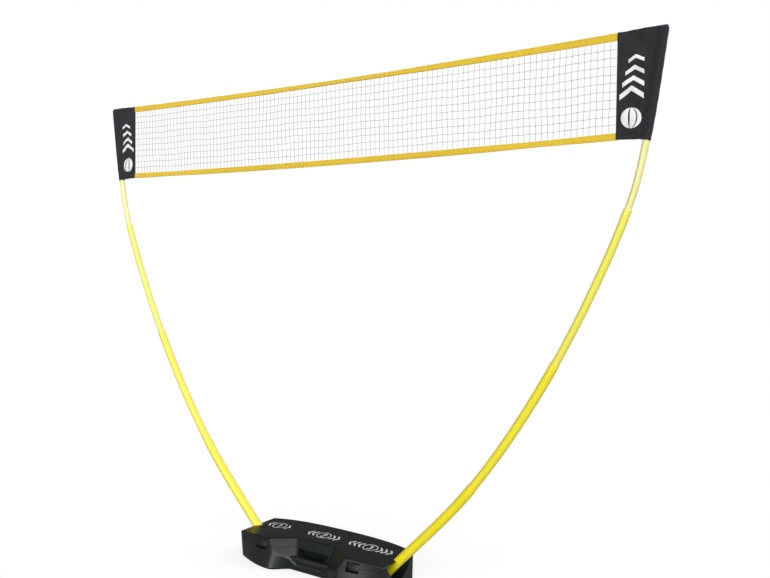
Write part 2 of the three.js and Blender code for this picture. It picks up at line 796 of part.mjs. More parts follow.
/** Body of the case: floor, walls, handle recess, pole bays and hinge knuckles. */
function caseBody() {
  const outer = caseBlock(CASE_BOTTOM_Z, PARTING_Z, 0, BOTTOM_FILLET);
  const hollow = caseBlock(CASE_BOTTOM_Z + BODY_WALL, PARTING_Z + 10, BODY_WALL, BOTTOM_FILLET - 3);
  const tongueRoom = caseBlock(CASE_BOTTOM_Z + BODY_WALL, BAY_CEILING_Z, BODY_WALL + 0.6, 2);
  const bayRoom = outer.add(tongueRoom);
  const cupHousing = footAxisBar(cupOuter + 3, cupBottom - 3, THROAT_AT);
  const housings = onBothSides(bayTool(BAY_WALL)).add(onBothSides(cupHousing)).intersect(bayRoom);
  const belowRim = solid(boxBetween([-500, -FRONT_WING_Y, CASE_BOTTOM_Z], [500, 180, PARTING_Z]));
  const pocketShell = pocketTool(3).intersect(outer).subtract(recessTool(0));
  const land = latchLand(LATCH_POCKET_LOW_Z - 4, PARTING_Z).intersect(outer);
  const stems = [-1, 1].map((side) => {
    const hole = new THREE.CylinderGeometry(FOOT_STEM_RADIUS + GAP, FOOT_STEM_RADIUS + GAP, 20, 12);
    hole.rotateX(Math.PI / 2);
    hole.translate(FOOT_X, side * FOOT_Y, CASE_BOTTOM_Z);
    return onBothSides(hole);
  });
  return outer
    .subtract(recessTool(0))
    .subtract(hollow.subtract(recessTool(BODY_WALL)))
    .add(pocketShell)
    .add(land)
    .add(housings)
    .subtract(pocketTool(0).intersect(belowRim))
    .subtract(latchPocket())
    .subtract(solid(gripBar(0.5)))
    .subtract(onBothSides(bayTool(0)))
    .subtract(onBothSides(footAxisBar(cupOuter + GAP, cupBottom - GAP, THROAT_AT + 1)))
    .subtract(barrelRoom(LID_KNUCKLE_HALF))
    .add(knuckles(bodyKnuckleRanges, true))
    .subtract(hingeBores())
    .subtract(stems[0])
    .subtract(stems[1]);
}

addPart("case_body", caseBody(), CASE_PLASTIC);

// -------------------------------------------------------------------------- case lid

/** Lid: a crowned shell, open where the poles leave the case, with its hinge barrels. */
function caseLid() {
  const lowZ = PARTING_Z + GAP;
  const outer = caseBlock(lowZ, lidTop, 0, 0.01);
  const hollow = caseBlock(PARTING_Z - 10, (x) => lidTop(x) - LID_WALL, LID_WALL, 0.01);
  const underRoof = solid(boxBetween([-500, -300, 0], [500, 300, LID_EDGE_Z - LID_WALL]));
  const land = latchLand(lowZ, LATCH_POCKET_HIGH_Z + 3).intersect(outer);
  const pinHoles = barAlongX(
    LATCH_PIN_RADIUS + GAP,
    LATCH_X - LATCH_POCKET_HALF_WIDTH - 2.6,
    LATCH_X + LATCH_POCKET_HALF_WIDTH + 2.6,
    LATCH_PIN_Y,
    LATCH_PIN_Z,
    12,
  );
  return outer
    .subtract(recessTool(0))
    .subtract(hollow.subtract(recessTool(LID_WALL)))
    .add(land)
    .subtract(latchPocket())
    .subtract(onBothSides(pinHoles))
    .subtract(onBothSides(bayTool(0)).intersect(underRoof))
    .subtract(onBothSides(footAxisBar(POLE_NOTCH_RADIUS, THROAT_AT, BAY_DEPTH)))
    .subtract(barrelRoom(BODY_KNUCKLE_END))
    .add(knuckles(lidKnuckleRanges, false))
    .subtract(hingeBores());
}

addPart("case_lid", caseLid(), CASE_PLASTIC);

// --------------------------------------------------------- hinge pins, latches, feet

addPair(
  "hinge_pin",
  barAlongX(
    HINGE_PIN_RADIUS,
    HINGE_X - BODY_KNUCKLE_END - 1.5,
    HINGE_X + BODY_KNUCKLE_END + 1.5,
    HINGE_Y,
    PARTING_Z,
    12,
  ),
  STEEL,
);

/** Front latch: a plate that hangs from its pin over the parting line, flush with the wall. */
function latch() {
  const fromX = LATCH_X - LATCH_HALF_WIDTH;
  const toX = LATCH_X + LATCH_HALF_WIDTH;
  const barrel = solid(barAlongX(LATCH_KNUCKLE_RADIUS, fromX, toX, LATCH_PIN_Y, LATCH_PIN_Z));
  const corners = [
    [LATCH_PIN_Y + 2, LATCH_PIN_Z],
    [LATCH_PIN_Y - 3.9, LATCH_PIN_Z],
    [LATCH_PIN_Y - 4.2, LATCH_PIN_Z - 5],
    [LATCH_PIN_Y - 7.8, LATCH_PIN_Z - 14],
    [LATCH_PIN_Y - 11, LATCH_TOE_Z + 1.5],
    [LATCH_PIN_Y - 10, LATCH_TOE_Z],
    [LATCH_PIN_Y - 4.5, LATCH_TOE_Z + 3],
    [LATCH_PIN_Y + 3, LATCH_TOE_Z + 4],
    [LATCH_PIN_Y + 3, LATCH_TOE_Z + 6.5],
    [LATCH_PIN_Y - 1, LATCH_TOE_Z + 9],
    [LATCH_PIN_Y - 1, LATCH_PIN_Z - 10],
  ];
  const plate = solid(facingOut(sealed(prismAlongX(corners, fromX, toX))));
  const bore = solid(
    barAlongX(LATCH_PIN_RADIUS + GAP, fromX - 1, toX + 1, LATCH_PIN_Y, LATCH_PIN_Z, 12),
  );
  return barrel.add(plate).subtract(bore);
}

addPair("latch", latch(), LATCH_PLASTIC);
addPair(
  "latch_pin",
  barAlongX(
    LATCH_PIN_RADIUS,
    LATCH_X - LATCH_POCKET_HALF_WIDTH - 2,
    LATCH_X + LATCH_POCKET_HALF_WIDTH + 2,
    LATCH_PIN_Y,
    LATCH_PIN_Z,
    12,
  ),
  STEEL,
);

/** Rubber foot: a domed disc under the floor with a stem pushed through it. */
function rubberFoot(y) {
  const floorTop = CASE_BOTTOM_Z + BODY_WALL;
  const points = [
    [0, 0],
    [FOOT_RADIUS - 2, 0],
    [FOOT_RADIUS, 1.2],
    [FOOT_RADIUS, CASE_BOTTOM_Z - GAP],
    [FOOT_STEM_RADIUS, CASE_BOTTOM_Z - GAP],
    [FOOT_STEM_RADIUS, floorTop + 2],
    [0, floorTop + 3],
  ].map(([radius, z]) => new THREE.Vector2(radius, z));
  const foot = new THREE.LatheGeometry(points, 16);
  foot.rotateX(Math.PI / 2);
  foot.translate(FOOT_X, y, 0);
  return facingOut(sealed(foot));
}

addPair("front_foot", rubberFoot(-FOOT_Y), RUBBER);
addPair("back_foot", rubberFoot(FOOT_Y), RUBBER);

export default group;
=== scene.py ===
"""Volleyball net on two bowed poles that stand in the ends of their own carrying case.

Shapes are worked out in millimetres in the CAD's frame: X runs along the net, -Y is the
side of the carry handle, +Z is up and the origin is on the ground under the case.
`mesh_of` turns them into metres.
"""

from math import cos, pi, radians, sin, tan
from typing import NamedTuple

import bpy
import numpy as np
from mathutils import Matrix, Vector


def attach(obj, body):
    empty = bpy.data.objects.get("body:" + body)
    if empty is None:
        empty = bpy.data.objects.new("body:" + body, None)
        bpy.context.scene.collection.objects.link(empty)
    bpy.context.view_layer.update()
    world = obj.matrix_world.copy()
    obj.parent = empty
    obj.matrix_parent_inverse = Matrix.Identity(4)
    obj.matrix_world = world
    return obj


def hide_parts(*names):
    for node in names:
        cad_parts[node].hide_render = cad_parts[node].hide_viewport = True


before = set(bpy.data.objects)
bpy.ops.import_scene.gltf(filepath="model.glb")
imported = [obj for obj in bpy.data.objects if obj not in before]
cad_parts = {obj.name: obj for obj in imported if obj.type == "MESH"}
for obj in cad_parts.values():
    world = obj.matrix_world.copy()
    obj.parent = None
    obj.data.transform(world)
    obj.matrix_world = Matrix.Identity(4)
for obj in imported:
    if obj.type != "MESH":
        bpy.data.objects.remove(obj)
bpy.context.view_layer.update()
MM = 0.001
SIDES = {"right": 1, "left": -1}

# ---------------------------------------------------------------------------- camera

CAMERA_AT = (2.265, -2.908, 1.407)
CAMERA_YAW = radians(33.7)
CAMERA_PITCH = radians(-1.7)
CAMERA_ROLL = radians(0.59)
FOCAL_PIXELS = 801
IMAGE_WIDTH = 770
SENSOR_WIDTH = 36
FAR_CLIP = 500


def placed(name, data):
    """A new object in the scene that shows a mesh, a lamp or a camera."""
    made = bpy.data.objects.new(name, data)
    bpy.context.scene.collection.objects.link(made)
    return made


def place_camera():
    """Camera at the photograph's viewing point: turned left, tipped down, then rolled."""
    forward = np.array(
        [
            -sin(CAMERA_YAW) * cos(CAMERA_PITCH),
            cos(CAMERA_YAW) * cos(CAMERA_PITCH),
            sin(CAMERA_PITCH),
        ]
    )
    level = np.array([cos(CAMERA_YAW), sin(CAMERA_YAW), 0])
    upright = np.cross(level, forward)
    right = level * cos(CAMERA_ROLL) + upright * sin(CAMERA_ROLL)
    up = upright * cos(CAMERA_ROLL) - level * sin(CAMERA_ROLL)
    lens = bpy.data.cameras.new("camera")
    lens.sensor_fit = "HORIZONTAL"
    lens.sensor_width = SENSOR_WIDTH
    lens.lens = SENSOR_WIDTH * FOCAL_PIXELS / IMAGE_WIDTH
    lens.clip_end = FAR_CLIP
    camera = placed("camera", lens)
    turn = np.eye(4)
    turn[:3, :3] = np.stack([right, up, -forward], axis=1)
    turn[:3, 3] = CAMERA_AT
    camera.matrix_world = Matrix(turn.tolist())
    bpy.context.scene.camera = camera


place_camera()

# ------------------------------------------------------------------------ dimensions
# In millimetres. They are the CAD's, but tubes, cups and sleeves are about a third fuller
# than their solids, as the photograph shows.

POLE_POINTS = np.array(
    [[325, 29], [764, 500], [1116, 1041], [1383, 1627], [1442, 1866], [1500, 2261]], float
)
SECTION_RADII = (21, 18.5, 15.7, 13)
TUBE_WALL = 2.2
OVERLAP_LENGTH = 60
PLUG_HEAD = 4
CAP_ROOM = 14
# Between two parts that fit into each other, and between a barrel and what it turns in.
GAP = 0.3
BARREL_GAP = 0.8

NET_HALF_LENGTH = 1331
TAPE_SAG = 12
TOP_TAPE_MIDDLE_Z = 2233
TOP_TAPE_HEIGHT = 28
BOTTOM_TAPE_MIDDLE_Z = 1872
BOTTOM_TAPE_HEIGHT = 26
PANEL_TOP_Z = 2260
PANEL_BOTTOM_Z = 1873
SLEEVE_BOTTOM_Z = 1864
SLEEVE_RADIUS = 14.8

CASE_HALF_LENGTH = 417
CASE_BOTTOM_Z = 3.3
PARTING_Z = 100
LID_EDGE_Z = 128
LID_CROWN = 8
BODY_WALL = 3.5
LID_WALL = 3
WITHIN_WALL = 1.5
TONGUE_INSET = 2.6
WALL_FOOT_Z = 11.3
FRONT_END_Y = 117
FRONT_TOP_BULGE = 15
FRONT_WING_Y = 170
FRONT_WING_X = 195
FRONT_FOOT_END_Y = 104
WAIST_Y = 112
WAIST_HALF_WIDTH = 105
BACK_END_Y = 118
BACK_MIDDLE_Y = 161
BACK_FULLNESS = 3.5
BACK_DRAFT = 4
END_ROUND = 10
FINE_HALF_LENGTH = 232

RECESS_TOP_HALF_WIDTH = 112
RECESS_TOP_Y = 58
RECESS_TOE_HALF_WIDTH = 75
RECESS_TOE_Y = 113
RECESS_TOE_Z = 34
CHEEK_SLANT = 74 / 103
POCKET_LOW_HALF_WIDTH = 66
POCKET_HIGH_HALF_WIDTH = 88
POCKET_BACK_Y = 46
POCKET_LOW_Z = 40
POCKET_HIGH_Z = 96.5
POCKET_WALL = 3
GRIP_HALF_LENGTH = 120
GRIP_Y = -103
GRIP_Z = 55
GRIP_DEPTH = 22
GRIP_HEIGHT = 28

# Throat, depth of the bay and bottom of the cup lie that far from the pole's foot, along
# the foot's axis.
THROAT_AT = 27
THROAT_RADIUS = 30
BAY_FLARE = radians(34)
BAY_DEPTH = 190
BAY_WALL = 3
BAY_CEILING_Z = 123.5
CUP_BORE = 21.6
CUP_OUTER = 25.6
CUP_BOTTOM = -3.5
CUP_FLANGE_RADIUS = 29.5
CUP_FLANGE_HEIGHT = 3
POLE_NOTCH_RADIUS = 24
FOOT_X = 300
FOOT_Y = 92
FOOT_RADIUS = 15
FOOT_STEM_RADIUS = 4
FOOT_STEM_TOP_Z = 9.8

HINGE_X = 150
HINGE_Y = 165
HINGE_RADIUS = 5
HINGE_PIN_RADIUS = 2
LID_KNUCKLE_HALF = 10
BODY_KNUCKLE_END = 22
LATCH_X = 262
LATCH_HALF_WIDTH = 31
LATCH_POCKET_HALF_WIDTH = 32
LATCH_PIN_Y = -125.5
LATCH_PIN_Z = 117
LATCH_PIN_RADIUS = 1.5
LATCH_BARREL_RADIUS = 4
LATCH_TOE_Z = 91
LATCH_LAND_Y = -121
LATCH_POCKET_LOW_Z = 80
LATCH_POCKET_HIGH_Z = 123
LAND = 4

# ----------------------------------------------------------------- skins and pieces


def unit(vectors):
    """Each vector divided by its length."""
    return vectors / np.linalg.norm(vectors, axis=-1, keepdims=True)


def lengths_along(path):
    """The length of a path of points up to each of them: the sum of its steps."""
    return np.concatenate([[0], np.cumsum(np.linalg.norm(np.diff(path, axis=0), axis=1))])


def points_along(path, length, places):
    """Points of a path at places along its length, straight between its own points."""
    return np.stack([np.interp(places, length, column) for column in path.T], axis=1)


class Skin(NamedTuple):
    """A surface in millimetres: its points, the corners of its faces one after another,
    how many corners each face has, and a place in metres on the surface per corner."""

    points: np.ndarray
    corners: np.ndarray
    counts: np.ndarray
    uv: np.ndarray


def facing_out(skin):
    """The closed skin turned so that its signed volume, a fan of each face, is positive."""
    starts = np.cumsum(skin.counts) - skin.counts
    face = np.repeat(np.arange(len(skin.counts)), skin.counts)
    place = np.arange(len(skin.corners)) - starts[face]
    inner = np.flatnonzero((place > 0) & (place < skin.counts[face] - 1))
    a = skin.points[skin.corners[starts[face[inner]]]]
    b = skin.points[skin.corners[inner]]
    c = skin.points[skin.corners[inner + 1]]
    if np.einsum("ij,ij->", a, np.cross(b, c)) >= 0:
        return skin
    turned = starts[face] + skin.counts[face] - 1 - place
    return skin._replace(corners=skin.corners[turned], uv=skin.uv[turned])


def grid_skin(points, uv=None, round_rows=False, round_columns=False, capped=False):
    """Faces over a grid of points (rows, columns). Rows or columns may close on themselves,
    and capped puts a flat face on the first and the last row."""
    rows, columns = points.shape[:2]
    index = np.arange(rows * columns).reshape(rows, columns)
    if round_rows:
        index = np.vstack([index, index[:1]])
    if round_columns:
        index = np.hstack([index, index[:, :1]])
    if uv is None:
        uv = np.zeros(index.shape + (2,))

    def quads(grid):
        """The four corners of each square of the grid."""
        return np.stack([grid[:-1, :-1], grid[:-1, 1:], grid[1:, 1:], grid[1:, :-1]], 2)

    corners = quads(index).reshape(-1)
    corner_uv = quads(uv).reshape(-1, 2)
    counts = np.full(len(corners) // 4, 4)
    if capped:
        corners = np.concatenate([corners, index[0, :columns][::-1], index[-1, :columns]])
        corner_uv = np.vstack([corner_uv, uv[0, :columns][::-1], uv[-1, :columns]])
        counts = np.append(counts, [columns, columns])
    return facing_out(Skin(points.reshape(-1, 3), corners, counts, corner_uv))


def cloth_skin(points, uv, thickness):
    """A sheet of cloth over an open grid: the grid moved half the thickness each way along
    its normals, which are the cross product of its two directions, and a rim all round."""
    normals = unit(np.cross(np.gradient(points, axis=0), np.gradient(points, axis=1)))
    rows, columns = points.shape[:2]
    index = np.arange(rows * columns).reshape(rows, columns)
    front = np.stack([index[:-1, :-1], index[:-1, 1:], index[1:, 1:], index[1:, :-1]], 2)
    front = front.reshape(-1, 4)
    back = front[:, ::-1] + rows * columns
    border = np.concatenate([index[0], index[1:, -1], index[-1, -2::-1], index[-2:0:-1, 0]])
    following = np.roll(border, -1)
    rim = np.stack(
        [following, border, border + rows * columns, following + rows * columns], 1
    )
    faces = np.vstack([front, back, rim])
    both = np.concatenate([points + normals * thickness / 2, points - normals * thickness / 2])
    corner_uv = np.tile(uv.reshape(-1, 2), (2, 1))[faces.reshape(-1)]
    return facing_out(
        Skin(both.reshape(-1, 3), faces.reshape(-1), np.full(len(faces), 4), corner_uv)
    )


def joined(*skins):
    """Several skins as one."""
    offsets = np.cumsum([0] + [len(skin.points) for skin in skins[:-1]])
    return Skin(
        np.vstack([skin.points for skin in skins]),
        np.concatenate([skin.corners + start for skin, start in zip(skins, offsets)]),
        np.concatenate([skin.counts for skin in skins]),
        np.vstack([skin.uv for skin in skins]),
    )


def on_side(skin, side):
    """The right-hand skin as it is, or its mirror image for the left-hand side."""
    if side > 0:
        return skin
    return facing_out(skin._replace(points=skin.points * (-1, 1, 1)))


def repeated(shape, centres, along, out):
    """Copies of a small shape, its x along each direction and its z out of the surface."""
    across = np.cross(out, along)
    axes = np.stack([along, across, out], axis=2)
    points = centres[:, None] + np.einsum("nij,kj->nki", axes, shape.points)
    starts = np.arange(len(centres)) * len(shape.points)
    return Skin(
        points.reshape(-1, 3),
        (shape.corners[None] + starts[:, None]).reshape(-1),
        np.tile(shape.counts, len(centres)),
        np.tile(shape.uv, (len(centres), 1)),
    )


def bead(length, width, height):
    """A small rounded grain along x: five rings of six sides that narrow to the ends."""
    places = np.array([-1, -0.7, 0, 0.7, 1])
    girth = np.array([0.35, 0.85, 1, 0.85, 0.35])
    angle = np.arange(6) * pi / 3
    rings = np.stack(
        [
            np.repeat(places[:, None] * length / 2, 6, axis=1),
            girth[:, None] * np.cos(angle) * width / 2,
            girth[:, None] * np.sin(angle) * height / 2,
        ],
        axis=2,
    )
    return grid_skin(rings, round_columns=True, capped=True)


def soft_min(a, b, reach):
    """The lesser of two distances. Where they differ by less than the reach, a parabola
    rounds the edge between them."""
    near = np.clip(reach - np.abs(a - b), 0, None)
    return np.minimum(a, b) - near**2 / (4 * reach)


def mix(low, high, share):
    """The value that far from low to high."""
    return low + (high - low) * share


def mesh_of(name, skin):
    """The skin as a mesh in metres."""
    mesh = bpy.data.meshes.new(name)
    mesh.vertices.add(len(skin.points))
    mesh.vertices.foreach_set("co", (skin.points * MM).astype(np.float32).reshape(-1))
    mesh.loops.add(len(skin.corners))
    mesh.loops.foreach_set("vertex_index", skin.corners.astype(np.int32))
    mesh.polygons.add(len(skin.counts))
    mesh.polygons.foreach_set(
        "loop_start", (np.cumsum(skin.counts) - skin.counts).astype(np.int32)
    )
    mesh.uv_layers.new(name="surface")
    mesh.update(calc_edges=True)
    mesh.uv_layers[0].data.foreach_set("uv", skin.uv.astype(np.float32).reshape(-1))
    mesh.validate()
    return mesh


def dress(name, shape, material, body, stands_for=(), sharp=40):
    """Makes a piece of a skin or a mesh, shaded smooth but for edges over the sharp angle,
    and puts it on its CAD body."""
    mesh = mesh_of(name, shape) if isinstance(shape, Skin) else shape
    mesh.name = name
    mesh.materials.clear()
    mesh.shade_smooth()
    mesh.set_sharp_from_angle(angle=radians(sharp))
    mesh.materials.append(material)
    piece = placed(name, mesh)
    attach(piece, body)
    if stands_for:
        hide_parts(*stands_for)
    return piece


# ------------------------------------------------------------------------- materials


def linear(hex_colour):
    """An sRGB hex colour as the linear colour that a shader takes."""
    channels = np.array([int(hex_colour[k : k + 2], 16) for k in (1, 3, 5)]) / 255
    bent = np.where(channels <= 0.04045, channels / 12.92, ((channels + 0.055) / 1.055) ** 2.4)
    return (*bent.tolist(), 1)


def add(tree, kind, inputs=None, **settings):
    """Adds a node, sets its own settings, and fills or links its inputs."""
    made = tree.nodes.new(kind)
    for name, value in settings.items():
        setattr(made, name, value)
    for name, value in (inputs or {}).items():
        if isinstance(value, bpy.types.NodeSocket):
            tree.links.new(value, made.inputs[name])
        else:
            made.inputs[name].default_value = value
    return made


def per(spacing):
    """The scale of a pattern that repeats once in that many millimetres."""
    return 1 / (spacing * MM)


# How far one repeat of a wave texture reaches along an axis at scale 1, in metres, with its
# bands across that axis and with its bands aslant.
BAND_REPEAT = 0.314
SLANT_REPEAT = 0.628


def new_material(name):
    """An empty material and its node tree."""
    made = bpy.data.materials.new(name)
    made.use_nodes = True
    made.node_tree.nodes.clear()
    return made, made.node_tree


def patterned(name, space):
    """An empty material, its node tree, and the coordinates that its patterns follow."""
    made, tree = new_material(name)
    return made, tree, add(tree, "ShaderNodeTexCoord").outputs[space]


def finished(made, tree, colours, share, relief, sockets):
    """Ends a material: its two colours mixed by a share, its relief as height, strength
    and depth in millimetres, and the shader with whatever other sockets it needs."""
    height, strength, depth = relief
    shade = add(
        tree,
        "ShaderNodeMix",
        {"Factor": share, "A": linear(colours[0]), "B": linear(colours[1])},
        data_type="RGBA",
    )
    dents = add(
        tree,
        "ShaderNodeBump",
        {"Height": height, "Strength": strength, "Distance": depth * MM},
    )
    shader = add(
        tree,
        "ShaderNodeBsdfPrincipled",
        {"Base Color": shade.outputs["Result"], "Normal": dents.outputs["Normal"]} | sockets,
    )
    add(tree, "ShaderNodeOutputMaterial", {"Surface": shader.outputs["BSDF"]})
    return made


def moulded_plastic(name, colour, worn, roughness, grain):
    """Injection-moulded plastic out of a spark-eroded mould: a fine even grain that breaks
    up the highlight, and handling marks a hand wide that are a little paler and smoother."""
    made, tree, place = patterned(name, "Object")
    pebble = add(
        tree,
        "ShaderNodeTexVoronoi",
        {"Vector": place, "Scale": per(grain), "Randomness": 1},
        feature="SMOOTH_F1",
    ).outputs["Distance"]
    marks = add(
        tree,
        "ShaderNodeTexNoise",
        {"Vector": place, "Scale": per(71.4), "Detail": 8, "Roughness": 0.62},
    ).outputs["Fac"]
    rubbed = add(
        tree,
        "ShaderNodeMapRange",
        {"Value": marks, "From Min": 0.5, "From Max": 0.72},
        interpolation_type="SMOOTHSTEP",
    ).outputs["Result"]
    gloss = add(
        tree,
        "ShaderNodeMapRange",
        {
            "Value": marks,
            "From Min": 0.3,
            "From Max": 0.7,
            "To Min": roughness + 0.06,
            "To Max": roughness - 0.06,
        },
    ).outputs["Result"]
    sockets = {"Roughness": gloss, "IOR": 1.49}
    return finished(made, tree, (colour, worn), rubbed, (pebble, 0.35, 0.12), sockets)


def moulded_rubber(name, colour, bloom):
    """Moulded rubber: dull and dark, with a bloom of paler dust in patches of 5 mm."""
    made, tree, place = patterned(name, "Object")
    dust = add(
        tree, "ShaderNodeTexNoise", {"Vector": place, "Scale": per(4.54), "Detail": 6}
    ).outputs["Fac"]
    return finished(made, tree, (colour, bloom), dust, (dust, 0.4, 0.2), {"Roughness": 0.82})


def zinc_plated_steel(name, colour):
    """Bright zinc-plated steel pin: drawn wire, so its fine scratches run along X."""
    made, tree, place = patterned(name, "Object")
    stretched = add(
        tree,
        "ShaderNodeMapping",
        {"Vector": place, "Scale": (per(16.7), per(0.25), per(0.25))},
    ).outputs["Vector"]
    drawn = add(
        tree, "ShaderNodeTexNoise", {"Vector": stretched, "Scale": 1, "Detail": 3}
    ).outputs["Fac"]
    gloss = add(
        tree, "ShaderNodeMapRange", {"Value": drawn, "To Min": 0.22, "To Max": 0.42}
    ).outputs["Result"]
    shader = add(
        tree,
        "ShaderNodeBsdfPrincipled",
        {"Base Color": linear(colour), "Metallic": 1, "Roughness": gloss},
    )
    add(tree, "ShaderNodeOutputMaterial", {"Surface": shader.outputs["BSDF"]})
    return made


def lacquered_tube(name, colour, streak):
    """Pultruded fibreglass tube in yellow lacquer: glass rovings that run its length show
    as faint streaks about 1.5 mm wide, under a smooth glossy film."""
    made, tree, place = patterned(name, "UV")
    drawn_out = add(
        tree, "ShaderNodeMapping", {"Vector": place, "Scale": (per(1.54), per(167), 1)}
    ).outputs["Vector"]
    rovings = add(
        tree, "ShaderNodeTexNoise", {"Vector": drawn_out, "Scale": 1, "Detail": 4}
    ).outputs["Fac"]
    scuffs = add(
        tree, "ShaderNodeTexNoise", {"Vector": place, "Scale": per(22.2), "Detail": 9}
    ).outputs["Fac"]
    gloss = add(
        tree,
        "ShaderNodeMapRange",
        {"Value": scuffs, "From Min": 0.35, "From Max": 0.7, "To Min": 0.26, "To Max": 0.44},
    ).outputs["Result"]
    sockets = {"Roughness": gloss, "Coat Weight": 0.7, "Coat Roughness": 0.15}
    return finished(made, tree, (streak, colour), rovings, (rovings, 0.25, 0.1), sockets)


def woven_cloth(name, colour, shadow, thread):
    """Plain-woven synthetic cloth: two sets of threads that cross over and under each other,
    lighter on their crowns and darker between them, in painted shade. The product of two
    sine waves, each two threads long, is the over and under; it is drawn as coarse as it needs to
    show."""
    made, tree, place = patterned(name, "UV")
    weave = []
    for direction in ("X", "Y"):
        wave = add(
            tree,
            "ShaderNodeTexWave",
            {
                "Vector": place,
                "Scale": BAND_REPEAT * per(2 * thread),
                "Distortion": 0.6,
                "Detail": 1,
                "Detail Scale": 0.4,
            },
            bands_direction=direction,
        )
        weave.append(wave.outputs["Fac"])
    over_under = add(
        tree, "ShaderNodeMath", {0: weave[0], 1: weave[1]}, operation="MULTIPLY"
    ).outputs["Value"]
    faded = add(
        tree, "ShaderNodeTexNoise", {"Vector": place, "Scale": per(111), "Detail": 7}
    ).outputs["Fac"]
    blend = add(
        tree,
        "ShaderNodeMath",
        {0: faded, 1: 0.25, 2: over_under},
        operation="MULTIPLY_ADD",
    ).outputs["Value"]
    sockets = {"Roughness": 0.85, "Sheen Weight": 0.2, "Sheen Roughness": 0.4}
    return finished(made, tree, (shadow, colour), blend, (over_under, 0.5, 0.15), sockets)


def laid_yarn(name, colour, shadow, lay):
    """Twisted or braided synthetic yarn: its strands wind round it, so fine grooves, darkened
    with painted shade, cross it at a slant, one lay apart."""
    made, tree, place = patterned(name, "UV")
    strands = add(
        tree,
        "ShaderNodeTexWave",
        {"Vector": place, "Scale": SLANT_REPEAT * per(lay), "Distortion": 1.5, "Detail": 1},
        bands_direction="DIAGONAL",
    ).outputs["Fac"]
    sockets = {"Roughness": 0.72, "Sheen Weight": 0.15}
    return finished(made, tree, (shadow, colour), strands, (strands, 0.6, 0.2), sockets)


def printed_ink(name, colour, thin, grain):
    """Pad or screen printing ink: an opaque matt film with pinholes where it missed the
    grain below it, and a thinner colour round them."""
    made, tree, place = patterned(name, "Object")
    film = add(
        tree,
        "ShaderNodeTexNoise",
        {"Vector": place, "Scale": per(grain), "Detail": 3, "Roughness": 0.6},
    ).outputs["Fac"]
    cover = add(
        tree,
        "ShaderNodeMapRange",
        {"Value": film, "From Min": 0.3, "From Max": 0.45},
    ).outputs["Result"]
    return finished(made, tree, (thin, colour), cover, (film, 0.3, 0.05), {"Roughness": 0.55})


case_plastic = moulded_plastic("case_polypropylene", "#0F1515", "#151B1B", 0.38, 0.9)
grip_plastic = moulded_plastic("grip_soft_polypropylene", "#0D1111", "#131818", 0.52, 1.3)
latch_plastic = moulded_plastic("latch_acetal", "#0F1414", "#151A1A", 0.35, 0.6)
foot_rubber = moulded_rubber("foot_rubber", "#101112", "#2B2C2D")
pin_steel = zinc_plated_steel("pin_zinc_plated_steel", "#B9BCBE")
# The lacquer is one yellow. Tubes 2, 3 and 4 step paler towards the tip, and that paleness is
# painted highlight.
tube_lacquers_with_painted_highlight = [
    lacquered_tube("tube_1_lacquered_fibreglass", "#FBEE1A", "#F2E010"),
    lacquered_tube("tube_2_lacquer_with_painted_highlight", "#FBF036", "#F2E428"),
    lacquered_tube("tube_3_lacquer_with_painted_highlight", "#FAF262", "#F1E84E"),
    lacquered_tube("tube_4_lacquer_with_painted_highlight", "#F8F3A6", "#EFE792"),
]
tape_cloth = woven_cloth("tape_woven_polyester", "#F0D536", "#D9B024", 1.58)
panel_cloth = woven_cloth("panel_oxford_polyester", "#25282C", "#131518", 1.284)
net_yarn = laid_yarn("net_braided_polyethylene", "#2E3033", "#141516", 6.32)
tape_thread = laid_yarn("tape_sewing_thread", "#E2C132", "#B8931E", 3.16)
panel_thread = laid_yarn("panel_sewing_thread", "#34373C", "#191B1F", 3.16)
cloth_ink = printed_ink("cloth_screen_ink", "#EEEFF2", "#B9BBBC", 1.3)
case_ink = printed_ink("case_pad_ink", "#E3E6E6", "#B9BBBC", 0.9)

# --------------------------------------------------------------- line of the poles


def bowed_line(points, per_span=400):
    """Centripetal Catmull-Rom curve through the points, and its length up to each sample.
    Each span is a cubic whose end slopes weigh the neighbouring chords by the square roots
    of their lengths."""
    knots = np.vstack([2 * points[0] - points[1], points, 2 * points[-1] - points[-2]])
    steps = np.sqrt(np.linalg.norm(np.diff(knots, axis=0), axis=1))
    chords = np.diff(knots, axis=0) / steps[:, None]
    wide = (knots[2:] - knots[:-2]) / (steps[1:] + steps[:-1])[:, None]
    slopes = chords[:-1] - wide + chords[1:]
    t = np.linspace(0, 1, per_span, endpoint=False)[:, None, None]
    low, high = points[:-1], points[1:]
    first = slopes[:-1] * steps[1:-1, None]
    last = slopes[1:] * steps[1:-1, None]
    spans = low + first * t + (3 * (high - low) - 2 * first - last) * t**2
    spans = spans + (2 * (low - high) + first + last) * t**3
    line = np.vstack([spans.transpose(1, 0, 2).reshape(-1, 2), points[-1:]])
    return line, lengths_along(line)


POLE_LINE, POLE_ALONG = bowed_line(POLE_POINTS)
LINE_LENGTH = POLE_ALONG[-1]
TUBE_END = LINE_LENGTH - CAP_ROOM
SECTION_LENGTH = TUBE_END / len(SECTION_RADII)
POLE_SLOPE = np.gradient(POLE_LINE, POLE_ALONG, axis=0)


def pole_at(distance):
    """Points and outward directions (x, y, z) of the right-hand pole's centre line at
    distances from its foot. Past either end it runs on straight."""
    distance = np.asarray(distance, float)
    inside = np.clip(distance, 0, LINE_LENGTH)
    x, z = (np.interp(inside, POLE_ALONG, POLE_LINE[:, k]) for k in (0, 1))
    slope_x, slope_z = (np.interp(inside, POLE_ALONG, POLE_SLOPE[:, k]) for k in (0, 1))
    length = np.hypot(slope_x, slope_z)
    slope_x, slope_z = slope_x / length, slope_z / length
    beyond = distance - inside
    level = np.zeros_like(x)
    point = np.stack([x + beyond * slope_x, level, z + beyond * slope_z], axis=-1)
    outward = np.stack([slope_z, level, -slope_x], axis=-1)
    return point, outward


